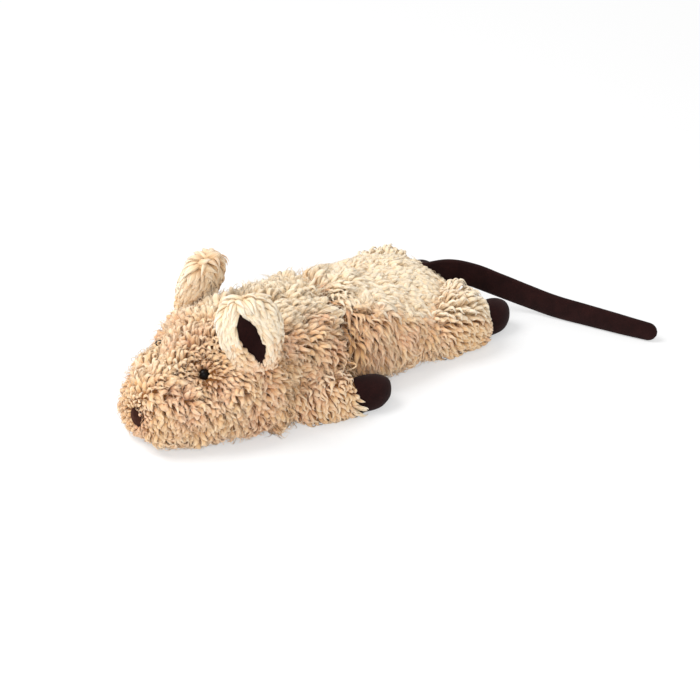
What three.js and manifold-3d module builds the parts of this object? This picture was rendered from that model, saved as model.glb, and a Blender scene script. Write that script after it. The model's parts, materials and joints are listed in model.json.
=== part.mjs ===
// A plush mouse for a cat to play with, lying on its belly.
// Millimetres, +Z up. The nose points towards -X, the tail towards +X, and
// the mouse's own left side is towards -Y. The origin is on the floor,
// under the chest, in the middle of the flat of the belly.
import * as THREE from 'three';
import { mergeVertices } from 'three/addons/utils/BufferGeometryUtils.js';
import Module from 'manifold-3d';

const wasm = await Module();
wasm.setup();

// Gaps and cloth
const seamGap = 0.3; // between two pieces sewn or laid together
const runningGap = 0.45; // between a joint's root and the seat it turns in
const floorCut = 0.5; // how deep the soft underside is pressed flat
const furDepth = 8; // backing cloth and fleece pile together
const suedeDepth = 1.6; // the suede of paws and feet

// Head: the neck's pivot is chestReach in front of the origin
const chestReach = 42;
const headLength = 83;
const headWidth = 94;
const headHeight = 68;
const headBackOverrun = 9; // the head form runs past the neck before it is cut
const neckRim = 12; // solid fleece in front of the head's back seam
const nodUp = 20; // degrees that the nose can rise
const nodDown = 4; // degrees that it can sink when the mouse is held up

// Neck: a rounded barrel of the chest that sits in the back of the head
const neckWall = 5.5; // fleece left round the neck barrel
const neckBore = 13; // radius of the neck hole that joins the two fillings

// Chest, waist and rump
const torsoLength = 164;
const torsoWidth = 100;
const torsoHeight = 60;
const chestOverlap = 10; // how far the chest form starts in front of the pivot
const waistSlant = 0.26; // how far back the fold at the waist runs per unit across, to the right
const waistShare = 0.42; // of the torso's length, where the fold is
const waistReach = 26; // how far along the body the slant fades

// Tufts that the curls of the fleece gather in
const tuftHeight = 1.3;
const tuftsRound = 8; // in one turn round the body
const tuftFloorGap = 8; // they fade towards the flat of the belly

// Front limbs
const armX = -26;
const armInset = 1.5; // the shoulder pivot lies this far inside the chest's side
const armRadius = 14;
const armSleeveLength = 32;
const armCuff = 11.5; // half-width of the sleeve where the paw starts
const armSplay = 22.5; // degrees outward from straight back
const armSwing = 60; // degrees that it swings farther out
const pawLength = 23;
const pawRadius = 10.5;

// Hind limbs
const legX = 85;
const legInsetLeft = 13;
const legInsetRight = 18;
const legRadius = 20.5;
const legHeight = 34; // the stuffed leg lies flatter than it is wide
const legSleeveLength = 41;
const legCuff = 14.5;
const legSplayLeft = 8;
const legSplayRight = 2;
const legSwing = 45;
const footLength = 21;
const footRadius = 11;
const limbFillShare = 0.62; // of a limb's half-width, for its filling
const limbWall = 3; // of a sleeve, where it lies against the torso

// Ears
const earWidth = 37;
const earHeight = 47;
const earThickness = 17;
const earRootRadius = 5;
const earRootLength = 26;
const earLiningDepth = 1.8;
const earCupDepth = 6.5;
const earLeftX = -59; // middle of the seam
const earRightX = -53;
const earSeamRun = 21; // how far the seam runs back along the head
const earFrontAngle = 50; // degrees up round the head from its side, at the seam's front
const earBackAngle = 20; // and at its back
const earLift = 2; // of the root over the skin
const earLeanInLeft = 14; // degrees from upright
const earLeanInRight = 18;
const earLeanBackLeft = -5;
const earLeanBackRight = 10;
const earDroop = 35; // degrees that an ear folds outward
const earRise = 10; // degrees that it folds inward

// Face
const eyeRadius = 3.3;
const eyeStemRadius = 1.5;
const eyeStemLength = 11.5;
const eyeRimDepth = 1.2; // of the button's edge
const eyeX = -87;
const eyeRaise = 52; // degrees up round the head from its side
const eyeSink = 2.2; // below the tips of the fleece
const washerRadius = 5.5;
const washerThickness = 1.2;
const washerDepth = 9.5; // below the eye's edge
const noseWidth = 11;
const noseHeight = 13;
const noseDepth = 6;
const noseSink = 4.5; // of its middle behind the tips of the fleece
const noseAside = 1.5; // of its middle to the left
const noseRise = 22; // of its middle over the floor

// Tail: a flat suede tube that stands on its edge
const tailReachBack = 95; // from the rump to the tip, straight back
const tailReachAside = 123; // and to the side it curls to
const tailHeight = 16.5;
const tailTipHeight = 11.5;
const tailTipShare = 0.965; // of the length, where the end starts to round off
const tailTipRoundShare = 0.92; // how far the end closes
const tailThickness = 4.4;
const tailRootRadius = 6.5;
const tailRootHeight = 34; // of the tail's middle over the floor, at the rump
const tailFloorGap = 0.4;
const tailLean = 12; // degrees that the far end leans back
const tailSwingNear = 5; // degrees of swing towards the near foot
const tailSwingFar = 55;

// Catnip pouch in the belly filling
const pouchLength = 46;
const pouchWidth = 34;
const pouchHeight = 9;
const pouchX = 48;

// Sections: 2 is an ellipse, more is squarer. The girth is where a form is widest.
const plushSquareness = 2.1;
const lyingSquareness = 2.7; // of the half that lies on the floor
const rootSquareness = 2.4;
const seamRootSquareness = 3.5;
const fillSquareness = 3;
const tailSquareness = 2.6;
const headGirthShare = 0.34;
const torsoGirthShare = 0.36;
const limbGirthShare = 0.42;

// Facets
const headRings = 15;
const torsoRings = 18;
const hollowRings = 9;
const limbRings = 9;
const pouchRings = 6;
const turnBands = 6;
const formSides = 24;
const innerSides = 12;
const limbSides = 14;
const turnSides = 28;
const smallTurnSides = 16;
const tailSides = 10;
const tailSteps = 22;

const degrees = Math.PI / 180;
const half = (value) => value / 2;

// Solids and geometries

function solidFrom(geometry) {
  const bare = geometry.clone();
  bare.deleteAttribute('normal');
  bare.deleteAttribute('uv');
  const merged = mergeVertices(bare);
  const corners = merged.index.array;
  const kept = [];
  for (let i = 0; i < corners.length; i += 3) {
    const [a, b, c] = [corners[i], corners[i + 1], corners[i + 2]];
    if (a !== b && b !== c && c !== a) kept.push(a, b, c);
  }
  return new wasm.Manifold(
    new wasm.Mesh({
      numProp: 3,
      vertProperties: Float32Array.from(merged.attributes.position.array),
      triVerts: Uint32Array.from(kept),
    })
  );
}

function geometryFrom(solid) {
  const mesh = solid.getMesh();
  const geometry = new THREE.BufferGeometry();
  geometry.setAttribute('position', new THREE.BufferAttribute(mesh.vertProperties, mesh.numProp));
  geometry.setIndex(new THREE.BufferAttribute(mesh.triVerts, 1));
  return geometry;
}

// A closed skin through rings of equal count, with a point at each end
function skinThrough(firstTip, rings, lastTip) {
  const sides = rings[0].length;
  const points = [firstTip, ...rings.flat(), lastTip];
  const last = points.length - 1;
  const index = [];
  for (let j = 0; j < sides; j += 1) {
    const next = (j + 1) % sides;
    index.push(0, 1 + next, 1 + j);
    for (let i = 0; i < rings.length - 1; i += 1) {
      const here = 1 + i * sides;
      const there = here + sides;
      index.push(here + j, here + next, there + next);
      index.push(here + j, there + next, there + j);
    }
    const end = 1 + (rings.length - 1) * sides;
    index.push(last, end + j, end + next);
  }
  const geometry = new THREE.BufferGeometry().setFromPoints(points);
  geometry.setIndex(index);
  return geometry;
}

// The point at an angle on a superellipse, as [across, up] in shares of its half-sizes
function roundedShares(angle, squareness) {
  const curve = (value) => Math.sign(value) * Math.abs(value) ** (2 / squareness);
  return [curve(Math.cos(angle)), curve(Math.sin(angle))];
}

// A form that swells and tapers along X, through places { x, halfWidth, top, bottom }.
// Its section is widest at girthShare of its height, and squarer below that.
class SoftForm {
  constructor(places, { girthShare = half(1), lower = plushSquareness, slant = () => 0, tufts = 0 } = {}) {
    const line = (points) => new THREE.CatmullRomCurve3(points, false, 'catmullrom');
    this.over = line(places.map((p) => new THREE.Vector3(p.x, p.halfWidth, p.top)));
    this.under = line(places.map((p) => new THREE.Vector3(p.x, p.halfWidth, p.bottom)));
    this.girthShare = girthShare;
    this.lowerSquareness = lower;
    this.slant = slant;
    this.tufts = tufts;
  }

  place(share) {
    const above = this.over.getPoint(share);
    return { x: above.x, halfWidth: above.y, top: above.z, bottom: this.under.getPoint(share).z };
  }

  at(x) {
    let [low, high] = [0, 1];
    for (let i = 0; i < 40; i += 1) {
      const middle = half(low + high);
      if (this.place(middle).x < x) low = middle;
      else high = middle;
    }
    return this.place(low);
  }

  sectionPoint({ x, halfWidth, top, bottom }, angle) {
    const girth = THREE.MathUtils.lerp(bottom, top, this.girthShare);
    const isUpper = Math.sin(angle) > 0;
    const [across, up] = roundedShares(angle, isUpper ? plushSquareness : this.lowerSquareness);
    const rise = isUpper ? top - girth : girth - bottom;
    const aside = halfWidth * across;
    return new THREE.Vector3(x + aside * this.slant(x), aside, girth + up * rise);
  }

  // Tufts stand out and lie back by turns along the form and round it
  tuftedPoint(place, angle, ring) {
    const point = this.sectionPoint(place, angle);
    const fade = THREE.MathUtils.clamp((point.z - tuftFloorGap) / tuftFloorGap, 0, 1);
    const round = Math.min(1, place.halfWidth / half(torsoWidth));
    const out = this.tufts * fade * round * Math.cos(Math.PI * ring) * Math.cos(tuftsRound * angle);
    return point.add(new THREE.Vector3(0, out * Math.cos(angle), out * Math.sin(angle)));
  }

  // A point of the skin at x, at an angle from the right side up over the back
  skinPoint(x, angle) {
    return this.sectionPoint(this.at(x), angle);
  }

  skinNormal(x, angle) {
    const ahead = this.skinPoint(x + seamGap, angle).sub(this.skinPoint(x - seamGap, angle));
    const round = this.skinPoint(x, angle + degrees).sub(this.skinPoint(x, angle - degrees));
    return round.cross(ahead).normalize();
  }

  geometry(ringCount, sides) {
    const rings = [];
    for (let i = 1; i < ringCount; i += 1) {
      const place = this.place(half(1 - Math.cos((Math.PI * i) / ringCount)));
      const ring = [];
      for (let j = 0; j < sides; j += 1) ring.push(this.tuftedPoint(place, (2 * Math.PI * j) / sides, i));
      rings.push(ring);
    }
    const tip = (p) => new THREE.Vector3(p.x, 0, half(p.top + p.bottom));
    return skinThrough(tip(this.place(0)), rings, tip(this.place(1)));
  }
}

// The same shape with each half-size longer by grow, about its own middle
function grown(geometry, grow) {
  geometry.computeBoundingBox();
  const size = geometry.boundingBox.getSize(new THREE.Vector3());
  const middle = geometry.boundingBox.getCenter(new THREE.Vector3());
  return geometry
    .clone()
    .translate(-middle.x, -middle.y, -middle.z)
    .scale(1 + (2 * grow) / size.x, 1 + (2 * grow) / size.y, 1 + (2 * grow) / size.z)
    .translate(middle.x, middle.y, middle.z);
}

// A rounded solid turned about Z: radius at the middle, halfHeight to each pole
function turned(radius, halfHeight, squareness, sides) {
  const rings = [];
  for (let i = 1; i < turnBands; i += 1) {
    const [across, up] = roundedShares(-Math.PI / 2 + (Math.PI * i) / turnBands, squareness);
    const ring = [];
    for (let j = 0; j < sides; j += 1) {
      const turn = (2 * Math.PI * j) / sides;
      const out = radius * across;
      ring.push(new THREE.Vector3(out * Math.cos(turn), out * Math.sin(turn), halfHeight * up));
    }
    rings.push(ring);
  }
  return skinThrough(new THREE.Vector3(0, 0, -halfHeight), rings, new THREE.Vector3(0, 0, halfHeight));
}

// Turns an upright shape to lie along Y or X
const onSide = {
  y: new THREE.Matrix4().makeRotationX(-Math.PI / 2),
  x: new THREE.Matrix4().makeRotationY(Math.PI / 2),
};

// The far side's pieces are the near side's, mirrored
function mirrored(solid) {
  const geometry = geometryFrom(solid).applyMatrix4(new THREE.Matrix4().makeScale(1, -1, 1));
  const corners = geometry.index.array;
  for (let i = 0; i < corners.length; i += 3) {
    [corners[i], corners[i + 1]] = [corners[i + 1], corners[i]];
  }
  return solidFrom(geometry);
}

const bothSides = (solid) => [solid, mirrored(solid)];
const allLess = (solid, cuts) => cuts.reduce((rest, cut) => rest.subtract(cut), solid);

const reach = headLength + torsoLength + headWidth; // longer than any cut needs

const between = (a, b) => new THREE.Vector3().addVectors(a, b).divideScalar(2);

function block(low, high) {
  const size = new THREE.Vector3().subVectors(high, low);
  const box = new THREE.BoxGeometry(size.x, size.y, size.z);
  return solidFrom(box.translate(...between(low, high).toArray()));
}

const underFloor = block(new THREE.Vector3(-reach, -reach, -reach), new THREE.Vector3(reach, reach, 0));
const onFloor = (solid) => solid.subtract(underFloor);
const behind = (x) => block(new THREE.Vector3(x, -reach, -reach), new THREE.Vector3(reach, reach, reach));

// Head and torso forms

const neckX = -chestReach;
const snoutX = neckX - headLength;
const headPlaceShares = [
  // along from the snout, half-width, top, bottom
  [0, 0, 0.37, 0.36],
  [0.02, 0.2, 0.48, 0.22],
  [0.065, 0.37, 0.57, 0.1],
  [0.15, 0.5, 0.645, 0.02],
  [0.27, 0.615, 0.71, 0],
  [0.41, 0.74, 0.79, 0],
  [0.56, 0.87, 0.88, 0],
  [0.71, 0.98, 0.965, 0],
  [0.86, 1, 1, 0],
  [1, 0.95, 0.97, 0],
];
const headPlaces = headPlaceShares.map(([share, width, top, bottom]) => ({
  x: snoutX + share * headLength,
  halfWidth: width * half(headWidth),
  top: top * headHeight,
  bottom: bottom * headHeight - floorCut,
}));
const headMiddle = half(headHeight);
headPlaces.push({ x: neckX + headBackOverrun, halfWidth: 0, top: headMiddle, bottom: headMiddle });
const headShape = { girthShare: headGirthShare, lower: lyingSquareness };
const head = new SoftForm(headPlaces, { ...headShape, tufts: tuftHeight });

const chestX = neckX - chestOverlap;
const rumpX = chestX + torsoLength;
const torsoPlaceShares = [
  // along from the chest's front, half-width, top, bottom
  [0, 0, 0.6, 0.45],
  [0.02, 0.5, 0.86, 0.12],
  [0.06, 0.8, 0.98, 0.02],
  [0.15, 0.84, 1.0, 0],
  [0.27, 0.91, 0.985, 0],
  [0.36, 0.93, 0.955, 0],
  [waistShare, 0.87, 0.87, 0],
  [0.475, 0.92, 0.92, 0],
  [0.56, 0.98, 0.94, 0],
  [0.67, 1, 0.935, 0],
  [0.79, 0.97, 0.92, 0],
  [0.89, 0.85, 0.87, 0],
  [0.955, 0.66, 0.76, 0.02],
  [0.985, 0.42, 0.66, 0.12],
  [1, 0, 0.5, 0.44],
];
const torsoPlaces = torsoPlaceShares.map(([share, width, top, bottom]) => ({
  x: chestX + share * torsoLength,
  halfWidth: width * half(torsoWidth),
  top: top * torsoHeight,
  bottom: bottom * torsoHeight - floorCut,
}));
const waistX = chestX + waistShare * torsoLength;
const torsoShape = {
  girthShare: torsoGirthShare,
  lower: lyingSquareness,
  slant: (x) => waistSlant * Math.exp(-(((x - waistX) / waistReach) ** 2)),
};
const torso = new SoftForm(torsoPlaces, { ...torsoShape, tufts: tuftHeight });

// Neck

const neckSection = head.at(neckX);
const neckZ = half(neckSection.top);
const neckRadius = neckZ - neckWall;
const neckPivot = new THREE.Vector3(neckX, 0, neckZ);

function neckBarrel(gap) {
  const reachAside = neckSection.halfWidth - neckWall;
  const barrel = turned(neckRadius + gap, reachAside + gap, rootSquareness, turnSides);
  return solidFrom(barrel.applyMatrix4(onSide.y).translate(neckX, 0, neckZ));
}

// What the back seam of the head sweeps, at both ends of the nod
function nodSpace() {
  const side = new THREE.Shape();
  const up = nodUp * degrees;
  const down = nodDown * degrees;
  side.moveTo(seamGap, 0);
  side.lineTo(seamGap + reach * Math.sin(up), reach * Math.cos(up));
  side.lineTo(-reach, reach);
  side.lineTo(-reach, -reach);
  side.lineTo(seamGap + reach * Math.sin(down), -reach * Math.cos(down));
  const slab = new THREE.ExtrudeGeometry(side, { depth: 2 * reach, bevelEnabled: false });
  slab.translate(0, 0, -reach).rotateX(Math.PI / 2);
  return solidFrom(slab.translate(neckX, 0, neckZ));
}

const neckHole = (radius) =>
  solidFrom(
    new THREE.CylinderGeometry(radius, radius, 2 * neckRadius + chestReach, smallTurnSides)
      .rotateZ(Math.PI / 2)
      .translate(neckX + half(chestReach), 0, neckZ)
  );

// Limbs, made for the left side along X. A limb's root turns about an upright axis.

const limbSection = { girthShare: limbGirthShare, lower: lyingSquareness };

function placesOf(shares, x, width, height) {
  return shares.map(([along, across, top, bottom]) => ({
    x: x(along),
    halfWidth: across * width,
    top: top * height,
    bottom: bottom * height - floorCut,
  }));
}

const endPlaceShares = [
  // along from the cuff in lengths, half-width in radii, top and bottom in twice the radius
  [-0.4, 0, 0.5, 0.5],
  [-0.34, 0.6, 0.8, 0.2],
  [-0.1, 0.86, 0.94, 0],
  [0.3, 1, 1, 0],
  [0.62, 0.92, 0.98, 0.05],
  [0.86, 0.66, 0.88, 0.22],
  [0.97, 0.35, 0.76, 0.38],
  [1, 0, 0.57, 0.55],
];

function sleeveForm(length, radius, cuff, height) {
  const cuffShare = cuff / radius;
  const shares = [
    [-radius / length, 0, 0.5, 0.5],
    [-0.85 * (radius / length), 0.45, 0.72, 0.24],
    [0, 0.92, 0.95, 0],
    [0.42, 1, 1, 0],
    [0.74, 0.94, 0.95, 0],
    [1, cuffShare, cuffShare, 0],
    [1 + half(cuff / length), 0, half(cuffShare), half(cuffShare)],
  ];
  return new SoftForm(placesOf(shares, (along) => along * length, radius, height), limbSection);
}

// A form and its mirror image together, because limbs and ears are made for one side
function bothWays(geometry, grow) {
  const solid = solidFrom(grown(geometry, grow));
  return solid.add(mirrored(solid));
}

const torsoOuter = torso.geometry(torsoRings, formSides);
const torsoCut = bothWays(torsoOuter, seamGap);

// The torso as a limb or the tail meets it when turned by each angle about its pivot
function torsoSweep({ x, y, z }, angles) {
  return angles.map((angle) => torsoCut.translate(-x, -y, -z).rotate([0, 0, angle]).translate(x, y, z));
}

function makeLimb({ pivot, splay, swing, radius, height, sleeveLength, cuff, endLength, endRadius }) {
  const place = new THREE.Matrix4()
    .makeTranslation(pivot.x, pivot.y, 0)
    .multiply(new THREE.Matrix4().makeRotationZ(-splay * degrees));
  const put = (geometry) => solidFrom(geometry.applyMatrix4(place));
  const cutAt = (x, direction) =>
    put(new THREE.BoxGeometry(reach, reach, reach).translate(x + direction * half(reach), 0, 0));
  function root(gap) {
    const ball = turned(radius + gap, half(height) + gap, rootSquareness, smallTurnSides);
    return put(ball.translate(0, 0, half(height) - floorCut));
  }
  const fillRadius = limbFillShare * Math.min(cuff, endRadius);
  const fillLength = sleeveLength + endLength - suedeDepth;
  const fill = (gap) =>
    put(
      turned(fillRadius + gap, half(fillLength) + gap, fillSquareness, innerSides)
        .applyMatrix4(onSide.x)
        .translate(half(fillLength), 0, Math.min(cuff, endRadius))
    );
  const sleeveSkin = sleeveForm(sleeveLength, radius, cuff, height).geometry(limbRings, limbSides);
  const sleeve = put(sleeveSkin).subtract(cutAt(sleeveLength, 1));
  const alongEnd = (along) => sleeveLength + along * endLength;
  const endForm = new SoftForm(placesOf(endPlaceShares, alongEnd, endRadius, 2 * endRadius), limbSection);
  const end = put(endForm.geometry(limbRings, limbSides)).subtract(
    cutAt(sleeveLength + seamGap, -1)
  );
  const wall = (gap) => bothWays(torsoOuter, limbWall + gap);
  const angles = [0, swing / 3, (2 * swing) / 3, swing];
  const passed = torsoSweep(pivot, angles);
  const cut = allLess(sleeve, passed).add(root(0));
  return {
    pivot,
    seat: root(runningGap),
    fillingSeat: root(runningGap + seamGap),
    sleeve: onFloor(cut.subtract(fill(seamGap).subtract(wall(0)))),
    end: onFloor(allLess(end, [fill(seamGap), ...passed])),
    stuffing: fill(0).subtract(wall(seamGap)),
  };
}

const sideOfTorso = (x, inset) => -(torso.at(x).halfWidth - inset);

const arm = makeLimb({
  pivot: new THREE.Vector3(armX, sideOfTorso(armX, armInset), 0),
  splay: armSplay,
  swing: armSwing,
  radius: armRadius,
  height: 2 * armRadius,
  sleeveLength: armSleeveLength,
  cuff: armCuff,
  endLength: pawLength,
  endRadius: pawRadius,
});
const legPlaces = [
  { inset: legInsetLeft, splay: legSplayLeft },
  { inset: legInsetRight, splay: legSplayRight },
];
const [leftLeg, rightLeg] = legPlaces.map(({ inset, splay }) =>
  makeLimb({
    pivot: new THREE.Vector3(legX, sideOfTorso(legX, inset), 0),
    splay,
    swing: legSwing,
    radius: legRadius,
    height: legHeight,
    sleeveLength: legSleeveLength,
    cuff: legCuff,
    endLength: footLength,
    endRadius: footRadius,
  })
);

// Tail

const tailRoot = new THREE.Vector3(rumpX - half(tailRootRadius), 0, tailRootHeight);
const tailSpan = new THREE.Vector3(tailReachBack, -tailReachAside, -tailRootHeight);
const tailRouteShares = [
  // back, aside and down from the root, in shares of the tail's span
  [0, 0, 0],
  [0.2, 0.04, 0.06],
  [0.35, 0.11, 0.2],
  [0.49, 0.2, 0.42],
  [0.62, 0.32, 0.62],
  [0.72, 0.47, 0.74],
  [0.81, 0.64, 0.77],
  [0.9, 0.82, 0.79],
  [1, 1, 0.83],
];
const tailLine = new THREE.CatmullRomCurve3(
  tailRouteShares.map((share) => new THREE.Vector3(...share).multiply(tailSpan).add(tailRoot))
);

function tailBand() {
  const rings = [];
  for (let i = 0; i <= tailSteps; i += 1) {
    const share = i / tailSteps;
    const middle = tailLine.getPointAt(share);
    const ahead = tailLine.getTangentAt(share);
    const lean = tailLean * degrees * share;
    const side = new THREE.Vector3(-ahead.y, ahead.x, 0).normalize();
    const up = new THREE.Vector3().crossVectors(ahead, side).normalize();
    const across = side.clone().multiplyScalar(Math.cos(lean)).addScaledVector(up, -Math.sin(lean));
    const tall = up.clone().multiplyScalar(Math.cos(lean)).addScaledVector(side, Math.sin(lean));
    const taper = THREE.MathUtils.lerp(tailHeight, tailTipHeight, share ** 3);
    const tip = Math.max(0, (share - tailTipShare) / (1 - tailTipShare));
    const roundTip = Math.sqrt(1 - (tailTipRoundShare * tip) ** 2);
    const halfTall = half(taper) * roundTip;
    const halfAcross = half(tailThickness) * roundTip;
    middle.z = Math.max(middle.z, half(taper) + tailFloorGap);
    const ring = [];
    for (let j = 0; j < tailSides; j += 1) {
      const [wide, high] = roundedShares((2 * Math.PI * j) / tailSides, tailSquareness);
      const point = middle.clone().addScaledVector(across, wide * halfAcross);
      ring.push(point.addScaledVector(tall, high * halfTall));
    }
    rings.push(ring);
  }
  const total = (ring) => ring.reduce((sum, p) => sum.add(p), new THREE.Vector3());
  const centre = (ring) => total(ring).divideScalar(tailSides);
  return skinThrough(centre(rings[0]), rings, centre(rings[tailSteps]));
}

function tailSeat(gap) {
  const barrel = turned(tailRootRadius + gap, half(tailHeight) + gap, fillSquareness, smallTurnSides);
  return solidFrom(barrel.translate(...tailRoot.toArray()));
}

// Ears, made for the left side

const earOutlineShares = [
  // up, half-width, half-thickness
  [-0.1, 0, 0],
  [-0.06, 0.42, 0.5],
  [0.1, 0.72, 0.8],
  [0.35, 0.93, 0.95],
  [0.6, 1, 1],
  [0.8, 0.86, 0.86],
  [0.94, 0.52, 0.55],
  [1, 0, 0],
];
const earCupShares = [
  [0.04, 0, 0],
  [0.1, 0.2, 0.35],
  [0.3, 0.42, 0.8],
  [0.5, 0.5, 1],
  [0.7, 0.42, 0.8],
  [0.82, 0.2, 0.4],
  [0.87, 0, 0],
];

function earForm(shares, thickness, offset) {
  return new SoftForm(
    shares.map(([up, across, thick]) => ({
      x: up * earHeight,
      halfWidth: across * half(earWidth),
      top: thick * half(thickness) - offset,
      bottom: -thick * half(thickness) - offset,
    }))
  );
}

function makeEar({ seamX, leanIn, leanBack }, headCut) {
  const front = head.skinPoint(seamX - half(earSeamRun), Math.PI - earFrontAngle * degrees);
  const back = head.skinPoint(seamX + half(earSeamRun), Math.PI - earBackAngle * degrees);
  const seamLine = new THREE.Vector3().subVectors(back, front).normalize();
  const outward = head.skinNormal(seamX, Math.PI - half(earFrontAngle + earBackAngle) * degrees);
  const pivot = between(front, back).addScaledVector(outward, earLift);
  const up = new THREE.Vector3(Math.sin(leanBack * degrees), Math.sin(leanIn * degrees), 1).normalize();
  const inward = new THREE.Vector3().crossVectors(up, seamLine).normalize();
  const rearward = new THREE.Vector3().crossVectors(inward, up);
  const standing = new THREE.Matrix4().makeBasis(up, rearward, inward).setPosition(pivot);
  const put = (geometry) => solidFrom(geometry.applyMatrix4(standing));

  const seamTurn = new THREE.Matrix4()
    .makeBasis(new THREE.Vector3().crossVectors(inward, seamLine), inward, seamLine)
    .setPosition(pivot);
  function root(gap) {
    const roll = turned(earRootRadius + gap, half(earRootLength) + gap, seamRootSquareness, innerSides);
    return solidFrom(roll.applyMatrix4(seamTurn));
  }
  function headTurned(angle) {
    const turn = new THREE.Matrix4()
      .makeTranslation(...pivot.toArray())
      .multiply(new THREE.Matrix4().makeRotationAxis(seamLine, -angle * degrees))
      .multiply(new THREE.Matrix4().makeTranslation(...pivot.clone().negate().toArray()));
    return headCut.transform(turn.elements);
  }
  const cupForm = earForm(earCupShares, 2 * earCupDepth, half(earThickness));
  const cup = (grow) => put(grown(cupForm.geometry(limbRings, innerSides), grow));
  const blade = put(earForm(earOutlineShares, earThickness, 0).geometry(limbRings, limbSides));
  const sweep = [-earRise, -half(earRise), 0, earDroop / 3, (2 * earDroop) / 3, earDroop].map(headTurned);
  return {
    pivot,
    seamLine,
    seat: root(runningGap),
    back: allLess(blade, [cup(0), ...sweep]).add(root(0)),
    lining: allLess(cup(-seamGap).intersect(blade), [cup(-seamGap - earLiningDepth), ...sweep]),
  };
}

// Face

function lathed(profile) {
  const points = profile.map((point) => new THREE.Vector2(...point));
  return new THREE.LatheGeometry(points, innerSides).rotateX(Math.PI / 2);
}

const eyeDomeShares = [
  // across, up
  [1, 0],
  [0.9, 0.45],
  [0.62, 0.78],
  [0.3, 0.94],
  [0, 1],
];

// An eye is a button with a stem, made pointing up Z from the skin
function eyeGeometry(gap) {
  const radius = eyeRadius + gap;
  const stem = eyeStemRadius + gap;
  return lathed([
    [0, -eyeStemLength - gap],
    [stem, -eyeStemLength - gap],
    [stem, -eyeRimDepth - gap],
    [radius, -eyeRimDepth - gap],
    ...eyeDomeShares.map(([across, up]) => [across * radius, up * radius]),
  ]);
}

function washerGeometry() {
  const inner = eyeStemRadius + seamGap;
  return lathed([
    [inner, 0],
    [washerRadius, 0],
    [washerRadius, washerThickness],
    [inner, washerThickness],
    [inner, 0],
  ]);
}

const eyeAngle = Math.PI - eyeRaise * degrees;
const eyeNormal = head.skinNormal(eyeX, eyeAngle);
const eyePoint = head.skinPoint(eyeX, eyeAngle).addScaledVector(eyeNormal, -eyeSink);
const eyeTurn = new THREE.Quaternion().setFromUnitVectors(new THREE.Vector3(0, 0, 1), eyeNormal);
const eyePlace = new THREE.Matrix4().compose(eyePoint, eyeTurn, new THREE.Vector3(1, 1, 1));
const washerPlace = eyePlace.clone().multiply(new THREE.Matrix4().makeTranslation(0, 0, -washerDepth));

const eye = solidFrom(eyeGeometry(0).applyMatrix4(eyePlace));
const washer = solidFrom(washerGeometry().applyMatrix4(washerPlace));

// A round room along the eye's stem
function eyeRoom(radius, low, high) {
  const room = new THREE.CylinderGeometry(radius, radius, high - low, innerSides).rotateX(Math.PI / 2);
  return solidFrom(room.translate(0, 0, half(low + high)).applyMatrix4(eyePlace));
}

const eyeWell = eyeRoom(eyeRadius + seamGap, -eyeRimDepth, 3 * eyeSink).add(
  solidFrom(eyeGeometry(seamGap).applyMatrix4(eyePlace))
);
const washerRoom = eyeRoom(
  washerRadius + seamGap,
  -eyeStemLength - eyeSink,
  -washerDepth + half(eyeStemLength)
);

function nose(gap) {
  const button = turned(half(noseWidth) + gap, half(noseDepth) + gap, rootSquareness, innerSides);
  button.scale(1, (half(noseHeight) + gap) / (half(noseWidth) + gap), 1);
  button.rotateX(Math.PI / 2).rotateZ(Math.PI / 2);
  return solidFrom(button.translate(snoutX + noseSink, -noseAside, noseRise));
}

// The nose sits at the end of an oval well in the fleece
const noseWellWidth = half(noseWidth) + seamGap;
const noseWell = solidFrom(
  new THREE.CylinderGeometry(noseWellWidth, noseWellWidth, 2 * noseSink, innerSides)
    .scale(1, 1, (half(noseHeight) + seamGap) / noseWellWidth)
    .rotateZ(Math.PI / 2)
    .translate(snoutX, -noseAside, noseRise)
).add(nose(seamGap));

// The torso

const smoothTorso = new SoftForm(torsoPlaces, torsoShape);
const torsoHollow = grown(smoothTorso.geometry(hollowRings, innerSides), -furDepth);
const torsoSkin = allLess(solidFrom(torsoOuter).subtract(nodSpace()).add(neckBarrel(0)), [
  solidFrom(torsoHollow),
  neckHole(neckBore),
  ...bothSides(arm.seat),
  leftLeg.seat,
  mirrored(rightLeg.seat),
  tailSeat(runningGap),
]);

const pouchZ = furDepth + 2 * seamGap + half(pouchHeight);
const pouchPlaceShares = [
  [-1, 0],
  [-0.94, 0.7],
  [-0.6, 0.96],
  [0.6, 0.96],
  [0.94, 0.7],
  [1, 0],
];
const pouch = new SoftForm(
  pouchPlaceShares.map(([along, across]) => ({
    x: pouchX + along * half(pouchLength),
    halfWidth: across * half(pouchWidth),
    top: pouchZ + across * half(pouchHeight),
    bottom: pouchZ - across * half(pouchHeight),
  }))
);
const [pouchRoomX, pouchRoomY, pouchRoomZ] = [pouchLength, pouchWidth, pouchHeight].map(
  (size) => half(size) + seamGap
);
const pouchRoom = block(
  new THREE.Vector3(pouchX - pouchRoomX, -pouchRoomY, 0),
  new THREE.Vector3(pouchX + pouchRoomX, pouchRoomY, pouchZ + pouchRoomZ)
);

const neckFill = neckHole(neckBore - seamGap).intersect(neckBarrel(0)).subtract(behind(0));
const torsoFill = allLess(solidFrom(grown(torsoHollow, -seamGap)).add(neckFill), [
  ...bothSides(arm.fillingSeat),
  leftLeg.fillingSeat,
  mirrored(rightLeg.fillingSeat),
  tailSeat(runningGap + seamGap),
  pouchRoom,
]);

// The head

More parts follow.
